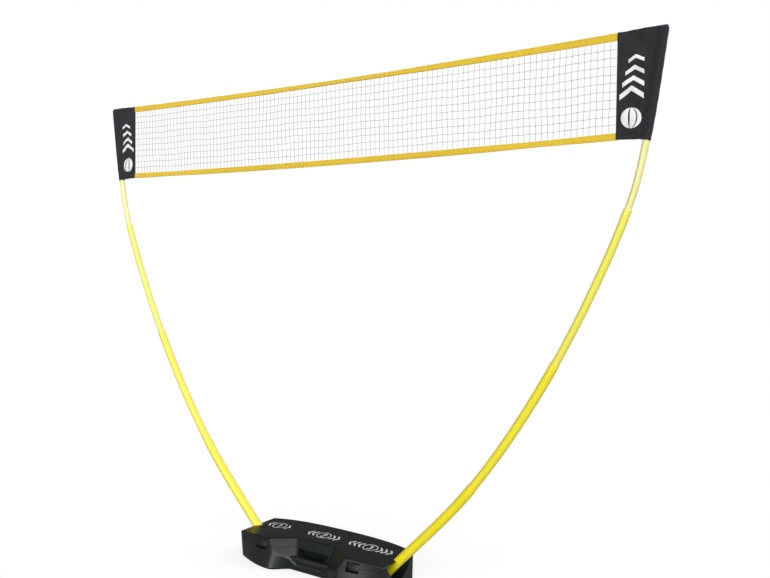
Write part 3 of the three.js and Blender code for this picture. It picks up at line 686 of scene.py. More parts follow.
def turned_on_pole(radii, distances, sides=32, round_rows=False):
    """A turned shape about the bowed line: circles of the radii at the distances."""
    point, outward = pole_at(distances)
    angle = np.linspace(0, 2 * pi, sides, endpoint=False)
    radii = np.asarray(radii, float)[:, None, None]
    ring = np.cos(angle)[None, :, None] * outward[:, None]
    ring = ring + np.sin(angle)[None, :, None] * np.array([0, 1, 0])
    grid = point[:, None] + radii * ring
    around = np.linspace(0, 2 * pi, sides + 1)[None] * radii[:, :, 0] * MM
    along = np.repeat(np.asarray(distances, float)[:, None] * MM, sides + 1, axis=1)
    uv = np.stack([around, along], axis=2)
    if round_rows:
        uv = np.concatenate([uv, uv[:1]])
    return grid_skin(grid, uv, round_rows, round_columns=True, capped=not round_rows)


# ----------------------------------------------------------------------------- poles


def pole_tube(index):
    """One tube: its outside up, a rounded mouth, its bore down again and a rounded foot."""
    outer = SECTION_RADII[index]
    bore = outer - TUBE_WALL
    low = PLUG_HEAD if index == 0 else index * SECTION_LENGTH - OVERLAP_LENGTH
    high = (index + 1) * SECTION_LENGTH
    lip = TUBE_WALL / 2
    middle = outer - lip
    turn = np.linspace(0, pi, 9)[1:-1]
    side = np.linspace(low + lip, high - lip, 48)
    mouth, foot = high - lip + lip * np.sin(turn), low + lip - lip * np.sin(turn)
    round_mouth, round_foot = middle + lip * np.cos(turn), middle - lip * np.cos(turn)
    straight = np.ones(len(side))
    radii = np.concatenate([outer * straight, round_mouth, bore * straight, round_foot])
    distances = np.concatenate([side, mouth, side[::-1], foot])
    return turned_on_pole(radii, distances, round_rows=True)


for side_name, side in SIDES.items():
    for index, lacquer in enumerate(tube_lacquers_with_painted_highlight):
        dress(
            f"pole_tube_{index + 1}_{side_name}",
            on_side(pole_tube(index), side),
            lacquer,
            "case",
            stands_for=[f"pole_section_{index + 1}_{side_name}"],
        )

# ----------------------------------------------------------------------------- tapes

TAPE_CLOTH_THICKNESS = 0.8
TAPE_TUCK = 9
TAPE_STITCH = (3.2, 0.8, 0.6)
TAPE_STITCH_PITCH = 4.2
MOUTH_SEAM_INSET = 3.5
FOLD_SEAM_INSET = 5


def top_roll(x):
    """How far the upper tape leans back, in radians: flat at the panels, most in the
    middle, with slow uneven turns."""
    t = x / NET_HALF_LENGTH
    return 0.6 * np.cos(t * pi / 2) ** 1.2 * (1 + 0.12 * np.sin(7.1 * t + 0.6))


def bottom_roll(x):
    """How far the lower tape leans back: most a little way in from the panels."""
    t = x / NET_HALF_LENGTH
    near_ends = np.exp(-(((np.abs(t) - 0.8) / 0.14) ** 2))
    return 0.5 * near_ends * (1 - t**10) + 0.07 * np.sin(9.3 * t + 1.1) * (1 - t**4)


class Tape(NamedTuple):
    """One long tape: the height of its middle, its own height, its roll as a function of
    the place along it, and the way its mouth faces, -1 for down and 1 for up."""

    middle_z: float
    height: float
    roll: object
    mouth: int

    def frame(self, x):
        """Middle point, the direction across the tape away from its mouth, and the
        direction out of its front face, at places along the net."""
        x = np.asarray(x, float)
        z = self.middle_z + TAPE_SAG * (x / NET_HALF_LENGTH) ** 2
        roll = self.roll(np.clip(x, -NET_HALF_LENGTH, NET_HALF_LENGTH))
        level = np.zeros_like(x)
        middle = np.stack([x, level, z], axis=-1)
        up = np.stack([level, np.sin(roll), np.cos(roll)], axis=-1)
        front = np.stack([level, -np.cos(roll), np.sin(roll)], axis=-1)
        return middle, up * -self.mouth, front

    def edge(self, x, depth=0.0):
        """The point on the tape's mouth, or that deep inside it."""
        middle, away, _ = self.frame(x)
        return middle - away * (self.height / 2 - depth)


TOP_TAPE = Tape(TOP_TAPE_MIDDLE_Z, TOP_TAPE_HEIGHT, top_roll, -1)
BOTTOM_TAPE = Tape(BOTTOM_TAPE_MIDDLE_Z, BOTTOM_TAPE_HEIGHT, bottom_roll, 1)


def mouth_stray(x):
    """How far a tape's mouth strays from its middle: puckers from the sewing, and a slow
    sway, as a sum of sines."""
    pucker = 0.35 * np.sin(2 * pi * x / 23) + 0.3 * np.sin(2 * pi * x / 61)
    return pucker + 0.5 * np.sin(2 * pi * x / 310)


def flank_spread(share):
    """How far a flank stands off the mesh, that share of the way from mouth to fold."""
    return 1.3 + 0.8 * np.sin(share * pi * 0.75)


def tape_skin(tape):
    """Cloth folded in two over the edge of the mesh. Its section runs up the front flank,
    round the fold, a half circle, and down the back flank; the flanks close on the mesh at
    the mouth and stray a little there."""
    x = np.linspace(-NET_HALF_LENGTH - TAPE_TUCK, NET_HALF_LENGTH + TAPE_TUCK, 560)
    middle, away, front = tape.frame(x)
    half = tape.height / 2
    fold = 2
    flank = np.linspace(-half, half - fold, 9)
    spread = flank_spread((flank + half) / tape.height)
    turn = np.linspace(0, pi, 8)[1:-1]
    across = np.concatenate([flank, half - fold + fold * np.sin(turn), flank[::-1]])
    outwards = np.concatenate([spread, spread[-1] * np.cos(turn), -spread[::-1]])
    near_mouth = np.clip(1 - (across + half) / half, 0, 1)
    offset = outwards[None] + mouth_stray(x)[:, None] * near_mouth[None]
    grid = middle[:, None] + away[:, None] * across[None, :, None]
    grid = grid + front[:, None] * offset[:, :, None]
    girth = np.concatenate([[0], np.cumsum(np.hypot(np.diff(across), np.diff(outwards)))])
    u, v = np.meshgrid(girth * MM, x * MM)
    return cloth_skin(grid, np.stack([v, u], axis=2), TAPE_CLOTH_THICKNESS)


def tape_stitches(tape, inset):
    """A row of stitches on both faces of a tape, that far in from its mouth."""
    x = np.arange(-NET_HALF_LENGTH + 3, NET_HALF_LENGTH - 2, TAPE_STITCH_PITCH)
    middle, away, front = tape.frame(x)
    half = tape.height / 2
    stray = mouth_stray(x) * (1 - inset / half)
    lift = flank_spread(inset / tape.height) + TAPE_CLOTH_THICKNESS / 2 + 0.1
    along = np.broadcast_to([1.0, 0, 0], middle.shape)
    rows = []
    for face in (1, -1):
        out = (face * lift + stray)[:, None]
        centres = middle - away * (half - inset) + front * out
        rows.append(repeated(bead(*TAPE_STITCH), centres, along, front * face))
    return joined(*rows)


for tape_name, tape, cut in (
    ("top_tape", TOP_TAPE, (0.059, 2.68)),
    ("bottom_tape", BOTTOM_TAPE, (0.055, 2.68)),
):
    cloth = dress(
        f"{tape_name}_cloth", tape_skin(tape), tape_cloth, "case", [tape_name]
    )
    seam = dress(
        f"{tape_name}_stitches",
        joined(
            tape_stitches(tape, MOUTH_SEAM_INSET),
            tape_stitches(tape, tape.height - FOLD_SEAM_INSET),
        ),
        tape_thread,
        "case",
    )

# ------------------------------------------------------------------------------ net

CELLS_ALONG = 110
CELLS_UP = 11
TWINE_RADIUS = 0.55
TUCKED_TWINE = 9
SLACK = 0.7
KNOT = (4.2, 2.7, 2.3)
KNOT_SEED, UPRIGHT_SEED, LEVEL_SEED = 11, 5, 6


def net_nodes():
    """Where the twines cross: columns between the two tapes' mouths, eased sideways and
    out of the plane by slow waves, and drawn inwards at the foot beside the panels."""
    chance = np.random.default_rng(KNOT_SEED)
    x = np.linspace(-NET_HALF_LENGTH, NET_HALF_LENGTH, CELLS_ALONG + 1)
    down = np.linspace(0, 1, CELLS_UP + 1)
    top = TOP_TAPE.edge(x)
    bottom = BOTTOM_TAPE.edge(x)
    nodes = top[:, None] * (1 - down)[None, :, None] + bottom[:, None] * down[None, :, None]
    t = x[:, None] / NET_HALF_LENGTH
    free = np.sin(pi * down)[None]
    held = (1 - np.abs(t) ** 24) * np.ones_like(free)
    inwards = -np.sign(t) * 9 * np.exp(-(1 - np.abs(t)) * 8) * down[None] ** 1.5
    nodes[..., 0] += held * (inwards + free * 2.4 * np.sin(19 * t + 5 * down[None]))
    nodes[..., 1] += held * free * (3.5 * np.sin(11 * t + 2 * down[None]) - 2.5)
    nodes[..., 2] += held * free * 2.2 * np.sin(23 * t - 3 * down[None])
    jitter = chance.uniform(-1, 1, nodes.shape) * (0.9, 0.6, 0.9)
    jitter[:, [0, -1]] = 0
    jitter[[0, -1]] = 0
    return nodes + jitter


def twine_skin(paths, sideways, spacing):
    """Six-sided twines along paths (twine, point, xyz), each ring spread along y and along
    the given sideways direction. The surface place runs round and along each twine."""
    twines, places = paths.shape[:2]
    angle = np.linspace(0, 2 * pi, 6, endpoint=False)
    ring = np.cos(angle)[:, None] * np.array(sideways) + np.sin(angle)[:, None] * [0, 1, 0]
    grids = paths[:, :, None] + TWINE_RADIUS * ring
    around, along = np.meshgrid(np.linspace(0, 2 * pi, 7) * TWINE_RADIUS, np.arange(places))
    uv = np.stack([around, along * spacing], axis=2) * MM
    one = grid_skin(grids[0], uv, round_columns=True, capped=True)
    starts = np.arange(twines) * places * 6
    return Skin(
        grids.reshape(-1, 3),
        (one.corners[None] + starts[:, None]).reshape(-1),
        np.tile(one.counts, twines),
        np.tile(one.uv, (twines, 1)),
    )


def with_slack(paths, seed):
    """Halves each stretch between knots and lets its middle stray by a random amount."""
    chance = np.random.default_rng(seed)
    middles = (paths[:, 1:] + paths[:, :-1]) / 2
    middles = middles + chance.uniform(-SLACK, SLACK, middles.shape)
    twines, places = paths.shape[:2]
    fine = np.empty((twines, 2 * places - 1, 3))
    fine[:, ::2] = paths
    fine[:, 1::2] = middles
    return fine


def net_skins():
    """Upright twines with their ends tucked into the tapes, level twines with theirs tucked
    into the panels, and a knot wherever two of them cross."""
    nodes = net_nodes()
    x = nodes[:, 0, 0]
    uprights = with_slack(nodes, UPRIGHT_SEED)
    head = TOP_TAPE.edge(x, TUCKED_TWINE)[:, None]
    foot = BOTTOM_TAPE.edge(x, TUCKED_TWINE)[:, None]
    uprights = np.concatenate([head, uprights, foot], axis=1)
    levels = with_slack(nodes.transpose(1, 0, 2)[1:-1], LEVEL_SEED)
    tuck = np.array([TUCKED_TWINE, 0, 0])
    levels = np.concatenate([levels[:, :1] - tuck, levels, levels[:, -1:] + tuck], axis=1)
    strands = joined(
        twine_skin(uprights[1:-1], sideways=[1, 0, 0], spacing=15),
        twine_skin(levels, sideways=[0, 0, 1], spacing=12),
    )
    crossings = nodes[1:-1, 1:-1].reshape(-1, 3)
    along = np.broadcast_to([0.6, 0, 0.8], crossings.shape)
    out = np.broadcast_to([0, -1.0, 0], crossings.shape)
    return strands, repeated(bead(*KNOT), crossings, along, out)


net_strand_skin, net_knot_skin = net_skins()
dress("net_strands", net_strand_skin, net_yarn, "case", ["net_mesh"])
dress("net_knots", net_knot_skin, net_yarn, "case")

# ----------------------------------------------------------------------- end panels

SEAM_FROM_POLE = 25
SLEEVE_CLOSING = 14
SLEEVE_LEVELLING = 70
PANEL_CLOTH_THICKNESS = 0.9
PANEL_FOOT_DISTANCE = float(np.interp(SLEEVE_BOTTOM_Z, POLE_LINE[:, 1], POLE_ALONG))
PANEL_HEAD_DISTANCE = LINE_LENGTH - 1
PANEL_HEIGHT = PANEL_TOP_Z - PANEL_BOTTOM_Z
PANEL_STITCH = (2.7, 0.75, 0.55)
PANEL_STITCH_PITCH = 3.6
HEM = 8
# Where the panel covers a tape's end it stands this far off its middle, up to these
# distances from the tape's middle line and from the panel's inner edge.
OVER_TAPE_STAND_OFF = 3.1
OVER_TAPE_HALF_HEIGHT = 17
OVER_TAPE_DEPTH = 13


def pinch(distance, reach=3.0):
    """1 on a line of stitches, and falling to 0 either side of it."""
    return np.exp(-((distance / reach) ** 2))


def panel_edges(v):
    """The panel's inner edge and its sleeve seam, level for level, as rows of points, then
    the pole's centre, outward direction and distance from its foot at those levels."""
    distance = PANEL_FOOT_DISTANCE + (PANEL_HEAD_DISTANCE - PANEL_FOOT_DISTANCE) * v
    centre, outward = pole_at(distance)
    inner = np.stack(
        [
            np.full_like(v, NET_HALF_LENGTH),
            np.zeros_like(v),
            PANEL_BOTTOM_Z + PANEL_HEIGHT * v,
        ],
        axis=-1,
    )
    return inner, centre - SEAM_FROM_POLE * outward, centre, outward, distance


def flat_part(w, v):
    """A point on the panel's middle surface between its inner edge (w = 0) and its sleeve
    seam (w = 1), and how far its two layers stand off it: pinched at every row of
    stitches, thicker over the ends of the tapes, with soft folds across."""
    inner, seam, *_ = panel_edges(v)
    point = inner + (seam - inner) * w[..., None]
    width = np.linalg.norm(seam - inner, axis=-1)
    from_inner, to_seam = width * w, width * (1 - w)
    below_top, above_foot = PANEL_HEIGHT * (1 - v), PANEL_HEIGHT * v
    rows = np.maximum.reduce(
        [pinch(below_top - HEM), pinch(above_foot - HEM), pinch(to_seam - 1, 2.5)]
    )
    off_tape = np.minimum.reduce(
        [abs(point[..., 2] - tape.middle_z - TAPE_SAG) for tape in (TOP_TAPE, BOTTOM_TAPE)]
    )
    above_or_below = 1 + np.exp((off_tape - OVER_TAPE_HALF_HEIGHT) / 1.2)
    past_end = 1 + np.exp((from_inner - OVER_TAPE_DEPTH) / 1.6)
    edge = np.clip(np.minimum(below_top, above_foot) / 3, 0, 1)
    stand_off = 0.8 + 1.1 * edge - 0.8 * rows
    stand_off = mix(stand_off, OVER_TAPE_STAND_OFF, 1 / above_or_below / past_end)
    x, z = point[..., 0], point[..., 2]
    loose = np.clip(from_inner / 35, 0, 1) * np.clip(to_seam / 25, 0, 1)
    fold = 2.6 * np.sin((x * 0.7 + z) * 2 * pi / 118 + 0.8)
    fold = fold + 1.3 * np.sin((x * 1.5 - z * 0.6) * 2 * pi / 74)
    point[..., 1] += loose * fold
    return point, stand_off


def panel_skin():
    """One cloth folded round the pole: front layer, teardrop sleeve, back layer. The
    sleeve is two straight runs from the seam, tangent to an arc about the pole's line,
    and flattens to a closed, level seam over the tip."""
    v = np.linspace(0, 1, 110)[:, None]
    w = np.linspace(0, 1, 56)[None]
    w, levels = np.broadcast_arrays(w, v)
    middle, stand_off = flat_part(w, levels)
    lift = stand_off[..., None] * np.array([0, 1, 0])
    front, back = middle - lift, (middle + lift)[:, ::-1]
    _, _, centre, outward, distance = panel_edges(v[:, 0])
    tangent = np.arccos(SLEEVE_RADIUS / SEAM_FROM_POLE)
    arc = np.linspace(-(pi - tangent), pi - tangent, 34)
    soft = 1 + 0.025 * np.sin(distance / 9)[:, None] * np.cos(2 * arc)[None]
    mouth = 0.8 * pinch(distance - PANEL_FOOT_DISTANCE, 6)[:, None]
    reach = SLEEVE_RADIUS * soft + mouth
    past = np.clip((distance - PANEL_HEAD_DISTANCE) / SLEEVE_CLOSING + 1, 0, 1)
    closing = np.clip(np.sqrt(1 - past**2), 0.08, 1)[:, None]
    reach = reach * (1 - 0.5 * past**2)[:, None]
    run = np.linspace(0, 1, 8)[1:-1]
    out_arc, side_arc = reach * np.cos(arc), reach * np.sin(arc) * closing
    seam_out = np.full((len(distance), 1), -float(SEAM_FROM_POLE))
    seam_side = stand_off[:, -1:]
    out_in = seam_out + (out_arc[:, :1] - seam_out) * run
    side_in = -seam_side + (side_arc[:, :1] + seam_side) * run
    out_back, side_back = out_in[:, ::-1], -side_in[:, ::-1]
    out = np.hstack([out_in, out_arc, out_back])
    sideways = np.hstack([side_in, side_arc, side_back])
    sleeve = centre[:, None] + outward[:, None] * out[..., None]
    sleeve = sleeve + sideways[..., None] * np.array([0, 1, 0])
    near_head = np.clip((distance - PANEL_HEAD_DISTANCE) / SLEEVE_LEVELLING + 1, 0, 1) ** 2
    sleeve[..., 2] -= (near_head * outward[:, 2])[:, None] * (out + SEAM_FROM_POLE)
    grid = np.concatenate([front, sleeve, back], axis=1)
    steps = np.linalg.norm(np.diff(grid, axis=1), axis=2)
    across = np.concatenate([np.zeros((len(v), 1)), np.cumsum(steps, axis=1)], axis=1)
    heights = np.broadcast_to(distance[:, None], across.shape)
    return cloth_skin(grid, np.stack([across, heights], axis=2) * MM, PANEL_CLOTH_THICKNESS)


def on_panel(w, v, face, lift):
    """Points on one face of the panel, that far proud of the cloth."""
    middle, stand_off = flat_part(np.asarray(w, float), np.asarray(v, float))
    height = stand_off + PANEL_CLOTH_THICKNESS / 2 + lift
    middle[..., 1] += face * height
    return middle


def seam_row(w, v):
    """Stitches on both faces along a line given by its w and v at many places."""
    rows = []
    for face in (-1, 1):
        path = on_panel(w, v, face, 0.05)
        length = lengths_along(path)
        places = np.arange(2, length[-1] - 1, PANEL_STITCH_PITCH)
        centres = points_along(path, length, places)
        along = unit(points_along(path, length, places + 1) - centres)
        out = unit(np.cross(along, np.cross([0, face, 0], along)))
        rows.append(repeated(bead(*PANEL_STITCH), centres, along, out))
    return joined(*rows)


def panel_stitches():
    """Two rows down the inner edge, one along each hem and two beside the sleeve."""
    line = np.linspace(0, 1, 220)
    _, seam, *_ = panel_edges(line)
    hem = HEM / PANEL_HEIGHT
    upright = hem + line * (1 - 2 * hem)
    width = np.interp(upright, line, seam[:, 0] - NET_HALF_LENGTH)
    across = line * 0.985 + 0.01
    rows = [seam_row(from_inner / width, upright) for from_inner in (3.5, 11)]
    rows += [seam_row(1 - from_seam / width, upright) for from_seam in (1, 6)]
    rows += [seam_row(across, np.full_like(line, level)) for level in (hem, 1 - hem)]
    return joined(*rows)


def ink_patch(x, z):
    """A film of ink on the panel's front over a grid of places (x from the inner edge and
    z above the foot), a tenth of a millimetre thick."""
    v = z / PANEL_HEIGHT
    _, seam, *_ = panel_edges(v)
    w = x / (seam[..., 0] - NET_HALF_LENGTH)
    return cloth_skin(on_panel(w, v, -1, 0.12), np.zeros(x.shape + (2,)), 0.1)


def panel_print():
    """A plain ball with two curved seams left bare, and four chevrons above it, each
    smaller than the one below."""
    films = []
    middle_x, ball_z, radius = 55.0, 76.0, 37.0
    for low, high in ((-1.0, -0.46), (-0.31, 0.31), (0.46, 1.0)):
        across = np.linspace(low, high, 17)[:, None]
        up = np.linspace(-0.999, 0.999, 41)[None]
        half = np.sqrt(1 - up**2)
        bend = 0.2 * (1 - up**2)
        x = middle_x + radius * (across * half + bend * (1 - across**2))
        z = ball_z + radius * up * np.ones_like(across)
        films.append(ink_patch(x, z))
    first_z, pitch, half_width, rise, line_width = 142, 43, 44, 30, 19
    t = np.linspace(-1, 1, 41)[:, None]
    for step in range(4):
        less = 5 * step
        thick = np.linspace(0, line_width - 2 * step, 4)[None]
        x = middle_x + less + (half_width - less) * t + 0 * thick
        z = first_z + pitch * step + thick + (rise - less) * (1 - np.abs(t))
        films.append(ink_patch(x, z))
    return joined(*films)


for side_name, side in SIDES.items():
    cloth = dress(
        f"panel_cloth_{side_name}",
        on_side(panel_skin(), side),
        panel_cloth,
        "case",
        [f"end_panel_{side_name}"],
        sharp=60,
    )
    seams = dress(
        f"panel_stitches_{side_name}",
        on_side(panel_stitches(), side),
        panel_thread,
        "case",
    )
    motif = dress(f"panel_print_{side_name}", on_side(panel_print(), side), cloth_ink, "case")

# ------------------------------------------------------------------ shape of the case


def wall_share(z):
    """How far up the wall a height is: 0 at the foot line and 1 at the lid's edge."""
    return np.clip((z - WALL_FOOT_Z) / (LID_EDGE_Z - WALL_FOOT_Z), 0, None)


def front_y(x, z, inset):
    """How far the front stands before y = 0. The wall runs straight from a foot line, wings
    on both sides of a waist, to an almost straight line at the lid's edge. The recess is
    the greater of a back that slopes and cheeks that slant; the lesser of wall and recess
    is the surface."""
    away = np.abs(x)
    rise = np.clip((away - WAIST_HALF_WIDTH) / (FRONT_WING_X - WAIST_HALF_WIDTH), 0, 1)
    waist = mix(WAIST_Y, FRONT_WING_Y, rise * rise * (3 - 2 * rise))
    turn = np.clip((away - FRONT_WING_X) / (CASE_HALF_LENGTH - FRONT_WING_X), 0, 1)
    wing = mix(FRONT_FOOT_END_Y, FRONT_WING_Y, np.cos(turn * pi / 2))
    foot = np.where(away > FRONT_WING_X, wing, waist)
    edge = FRONT_END_Y + FRONT_TOP_BULGE * soft_min(1, 2 - 2 * away / CASE_HALF_LENGTH, 0.2)
    wall = mix(foot, edge, wall_share(z)) - inset
    t = (z - RECESS_TOE_Z) / (LID_EDGE_Z - RECESS_TOE_Z)
    sloped = mix(RECESS_TOE_Y, RECESS_TOP_Y, t)
    cheek = sloped + (away - mix(RECESS_TOE_HALF_WIDTH, RECESS_TOP_HALF_WIDTH, t)) * CHEEK_SLANT
    recess = -soft_min(-sloped, -cheek, 5) - inset * 1.2
    return soft_min(wall, recess, 6)


def back_y(x, z, inset):
    """How far the back stands behind y = 0: full in the middle, and drawn in a little
    towards the foot."""
    fullness = 1 - (np.abs(x) / CASE_HALF_LENGTH) ** BACK_FULLNESS
    return mix(BACK_END_Y, BACK_MIDDLE_Y, fullness) - BACK_DRAFT * (1 - wall_share(z)) - inset


def lid_top(x):
    """Height of the lid's crown, a parabola along the case."""
    return LID_EDGE_Z + LID_CROWN * (1 - (x / CASE_HALF_LENGTH) ** 2)


def case_stations(inset):
    """Places along the case: fine about the recess, and round each end as a quarter circle."""
    middle = np.linspace(-FINE_HALF_LENGTH, FINE_HALF_LENGTH, 186)
    corner = CASE_HALF_LENGTH - END_ROUND
    wing = np.linspace(FINE_HALF_LENGTH, corner, 22)[1:]
    end = corner + (END_ROUND - inset) * np.sin(np.linspace(0, pi / 2, 7))[1:]
    half = np.concatenate([wing, end])
    return np.concatenate([-half[::-1], middle, half])[:, None]


def end_draw(x, inset):
    """How far the rounded ends draw a section in: a quarter circle in the end's round."""
    radius = END_ROUND - inset
    into = np.clip(np.abs(x) - (CASE_HALF_LENGTH - END_ROUND), 0, radius)
    return radius - np.sqrt(radius**2 - into**2)


def wall_rows(low, high, foot_round, head_round, rows=38):
    """Heights up a wall between two edges rounded as quarter circles, and how far each
    height is drawn in for that."""
    turn = np.linspace(0, pi / 2, 6)
    foot = low + foot_round * (1 - np.cos(turn))
    head = high - head_round * (1 - np.sin(turn))
    between = mix(foot[:, -1:], head[:, :1], np.linspace(0, 1, rows)[1:-1])
    drawn = [foot_round * (1 - np.sin(turn)), np.zeros(rows - 2), head_round * (1 - np.cos(turn))]
    return np.hstack([foot, between, head]), np.concatenate(drawn)


def case_block(inset, low, high, foot_round, head_round, step=None):
    """A closed block with the case's plan, drawn in by a wall thickness: sections along X
    that go up the front, over, down the back and under. The heights low and high are
    functions of the place and the end's draw. A step (height, depth) narrows it above."""
    x = case_stations(inset)
    draw = end_draw(x, inset)
    z, drawn = wall_rows(low(x, draw) + 0 * x, high(x, draw) + 0 * x, foot_round, head_round)
    if step:
        drawn = drawn + step[1] * (z > step[0])
    front = -(front_y(x, z, inset) - draw - drawn)
    back = back_y(x, z, inset) - draw - drawn
    across = np.array([0.008, 0.1, 0.5, 0.9, 0.992])
    over = mix(front[:, -1:], back[:, -1:], across)
    under = mix(back[:, :1], front[:, :1], across)
    level = np.ones(len(across))
    y = np.hstack([front, over, back[:, ::-1], under])
    z = np.hstack([z, z[:, -1:] * level, z[:, ::-1], z[:, :1] * level])
    return grid_skin(np.stack([x + 0 * y, y, z], axis=2), round_columns=True, capped=True)


def rounded(corners, radius, closed=True):
    """An outline with each corner turned into a parabola that leaves and joins the sides a
    radius away from it. An open one keeps its two ends."""
    corners = np.asarray(corners, float)
    ends = []
    for shift in (1, -1):
        side = np.roll(corners, shift, axis=0) - corners
        length = np.linalg.norm(side, axis=1, keepdims=True)
        ends.append((corners + side / length * np.minimum(radius, 0.45 * length))[:, None])
    t = np.linspace(0, 1, 5)[None, :, None]
    curve = (1 - t) ** 2 * ends[0] + 2 * t * (1 - t) * corners[:, None] + t**2 * ends[1]
    if closed:
        return curve.reshape(-1, 2)
    return np.vstack([corners[:1], curve[1:-1].reshape(-1, 2), corners[-1:]])


def bar_along_x(outline, from_x, to_x, edge=0.0):
    """A bar whose section is a closed outline of (y, z) corners. At both ends it is drawn
    in along the outline's normals by a quarter circle, which rounds the edge."""
    outline = np.asarray(outline, float)
    along = unit(np.roll(outline, -1, axis=0) - np.roll(outline, 1, axis=0))
    inwards = np.stack([-along[:, 1], along[:, 0]], axis=1)
    following = np.roll(outline, -1, axis=0)
    area = np.sum(outline[:, 0] * following[:, 1] - following[:, 0] * outline[:, 1])
    inwards *= np.sign(area)
    turn = np.linspace(0, pi / 2, 5 if edge else 2)[: 5 if edge else 1]
    near = edge * (1 - np.cos(turn))
    drawn = edge * (1 - np.sin(turn))
    x = np.concatenate([from_x + near, to_x - near[::-1]])
    drawn = np.concatenate([drawn, drawn[::-1]])
    section = outline[None] + inwards[None] * drawn[:, None, None]
    places = np.broadcast_to(x[:, None, None], section.shape[:2] + (1,))
    return grid_skin(np.concatenate([places, section], axis=2), round_columns=True, capped=True)


def turned(profile, origin, axis, sides=48):
    """A turned solid: circles of (radius, distance) about an axis from an origin, with a
    flat face on the first and the last."""
    profile = np.asarray(profile, float)
    axis = np.asarray(axis, float) / np.linalg.norm(axis)
    across = np.cross(axis, [0, 1, 0])
    across /= np.linalg.norm(across)
    upright = np.cross(across, axis)
    angle = np.linspace(0, 2 * pi, sides, endpoint=False)
    ring = np.cos(angle)[:, None] * across + np.sin(angle)[:, None] * upright
    centres = np.asarray(origin, float) + profile[:, 1:] * axis
    grid = centres[:, None] + profile[:, 0, None, None] * ring
    return grid_skin(grid, round_columns=True, capped=True)


def box_outline(low_y, high_y, low_z, high_z, radius):
    """A rectangle in (y, z) with rounded corners."""
    corners = [(low_y, low_z), (high_y, low_z), (high_y, high_z), (low_y, high_z)]
    return rounded(corners, radius)


def both_sides(skin):
    """A skin and its mirror image."""
    return joined(skin, on_side(skin, -1))


def carved(skin, *steps):
    """A mesh made from a closed skin by steps: each joins it with other closed shapes, cuts
    them away from it or keeps what it has in common with them."""
    work = placed("work", mesh_of("work", skin))
    tools = []
    for operation, *shapes in steps:
        for shape in shapes:
            mesh = mesh_of("tool", shape) if isinstance(shape, Skin) else shape
            tools.append(placed("tool", mesh))
            change = work.modifiers.new("step", "BOOLEAN")
            change.solver = "MANIFOLD"
            change.operation, change.object = operation, tools[-1]
    graph = bpy.context.evaluated_depsgraph_get()
    made = bpy.data.meshes.new_from_object(work.evaluated_get(graph))
    for spent in (work, *tools):
        mesh = spent.data
        bpy.data.objects.remove(spent)
        bpy.data.meshes.remove(mesh)
    return made


FOOT_POINT, foot_outward = pole_at(0.0)
FOOT_AXIS = np.array([-foot_outward[2], 0, foot_outward[0]])


def bay_tool(wall):
    """The cone of the bay about the pole's foot, drawn out by a wall thickness."""
    start = THROAT_AT - wall
    spread = THROAT_RADIUS + wall / cos(BAY_FLARE)
    rings = [
        (spread + (distance - THROAT_AT) * tan(BAY_FLARE), distance)
        for distance in (start, BAY_DEPTH)
    ]
    return turned(rings, FOOT_POINT, FOOT_AXIS, 64)


def foot_bar(radius, low, high):
    """A straight round bar on the pole foot's axis."""
    return turned([(radius, low), (radius, high)], FOOT_POINT, FOOT_AXIS, 64)


def pocket_tool(wall):
    """The finger pocket behind the grip: narrower below, with rounded edges at its back."""
    outline = box_outline(
        -FRONT_WING_Y, wall - POCKET_BACK_Y, POCKET_LOW_Z - wall, POCKET_HIGH_Z + wall, 9
    )
    skin = bar_along_x(outline, -1.0, 1.0)
    t = (skin.points[:, 2] - POCKET_LOW_Z) / (POCKET_HIGH_Z - POCKET_LOW_Z)
    half = mix(POCKET_LOW_HALF_WIDTH, POCKET_HIGH_HALF_WIDTH, t) + wall
    return skin._replace(points=skin.points * np.stack([half, 0 * t + 1, 0 * t + 1], axis=1))


def latch_pocket(grow, low=None, high=None):
    """The pocket that sinks each latch into the front, or the thick land behind it."""
    outline = box_outline(
        -FRONT_WING_Y - 10,
        LATCH_LAND_Y + grow,
        LATCH_POCKET_LOW_Z - grow if low is None else low,
        LATCH_POCKET_HIGH_Z + grow if high is None else high,
        2,
    )
    half = LATCH_POCKET_HALF_WIDTH + grow
    return both_sides(bar_along_x(outline, LATCH_X - half, LATCH_X + half, 2))


def hinge_bars(radius, ranges, edge=0.4):
    """Round bars on the hinge line, at ranges measured from the middle of each hinge."""
    bars = []
    for low, high in ranges:
        profile = [(radius - edge, low), (radius, low + edge), (radius, high - edge)]
        profile.append((radius - edge, high))
        bars.append(turned(profile, (HINGE_X, HINGE_Y, PARTING_Z), (1, 0, 0), 32))
    return both_sides(joined(*bars))


def hinge_webs(ranges, below):
    """The web between each hinge barrel and the wall in front of it."""
    reach = -1 if below else 1
    corners = [
        (HINGE_Y - 8, PARTING_Z + reach),
        (HINGE_Y, PARTING_Z + reach),
        (HINGE_Y + 3, PARTING_Z + 4 * reach),
        (HINGE_Y - 8, PARTING_Z + 16 * reach),
    ]
    webs = [
        bar_along_x(rounded(corners, 0.8), HINGE_X + low, HINGE_X + high, 0.4)
        for low, high in ranges
    ]
    return both_sides(joined(*webs))


BODY_KNUCKLES = [
    (-BODY_KNUCKLE_END, -LID_KNUCKLE_HALF - GAP),
    (LID_KNUCKLE_HALF + GAP, BODY_KNUCKLE_END),
]
LID_KNUCKLES = [(-LID_KNUCKLE_HALF, LID_KNUCKLE_HALF)]
WHOLE_HINGE = [(-BODY_KNUCKLE_END - 1, BODY_KNUCKLE_END + 1)]


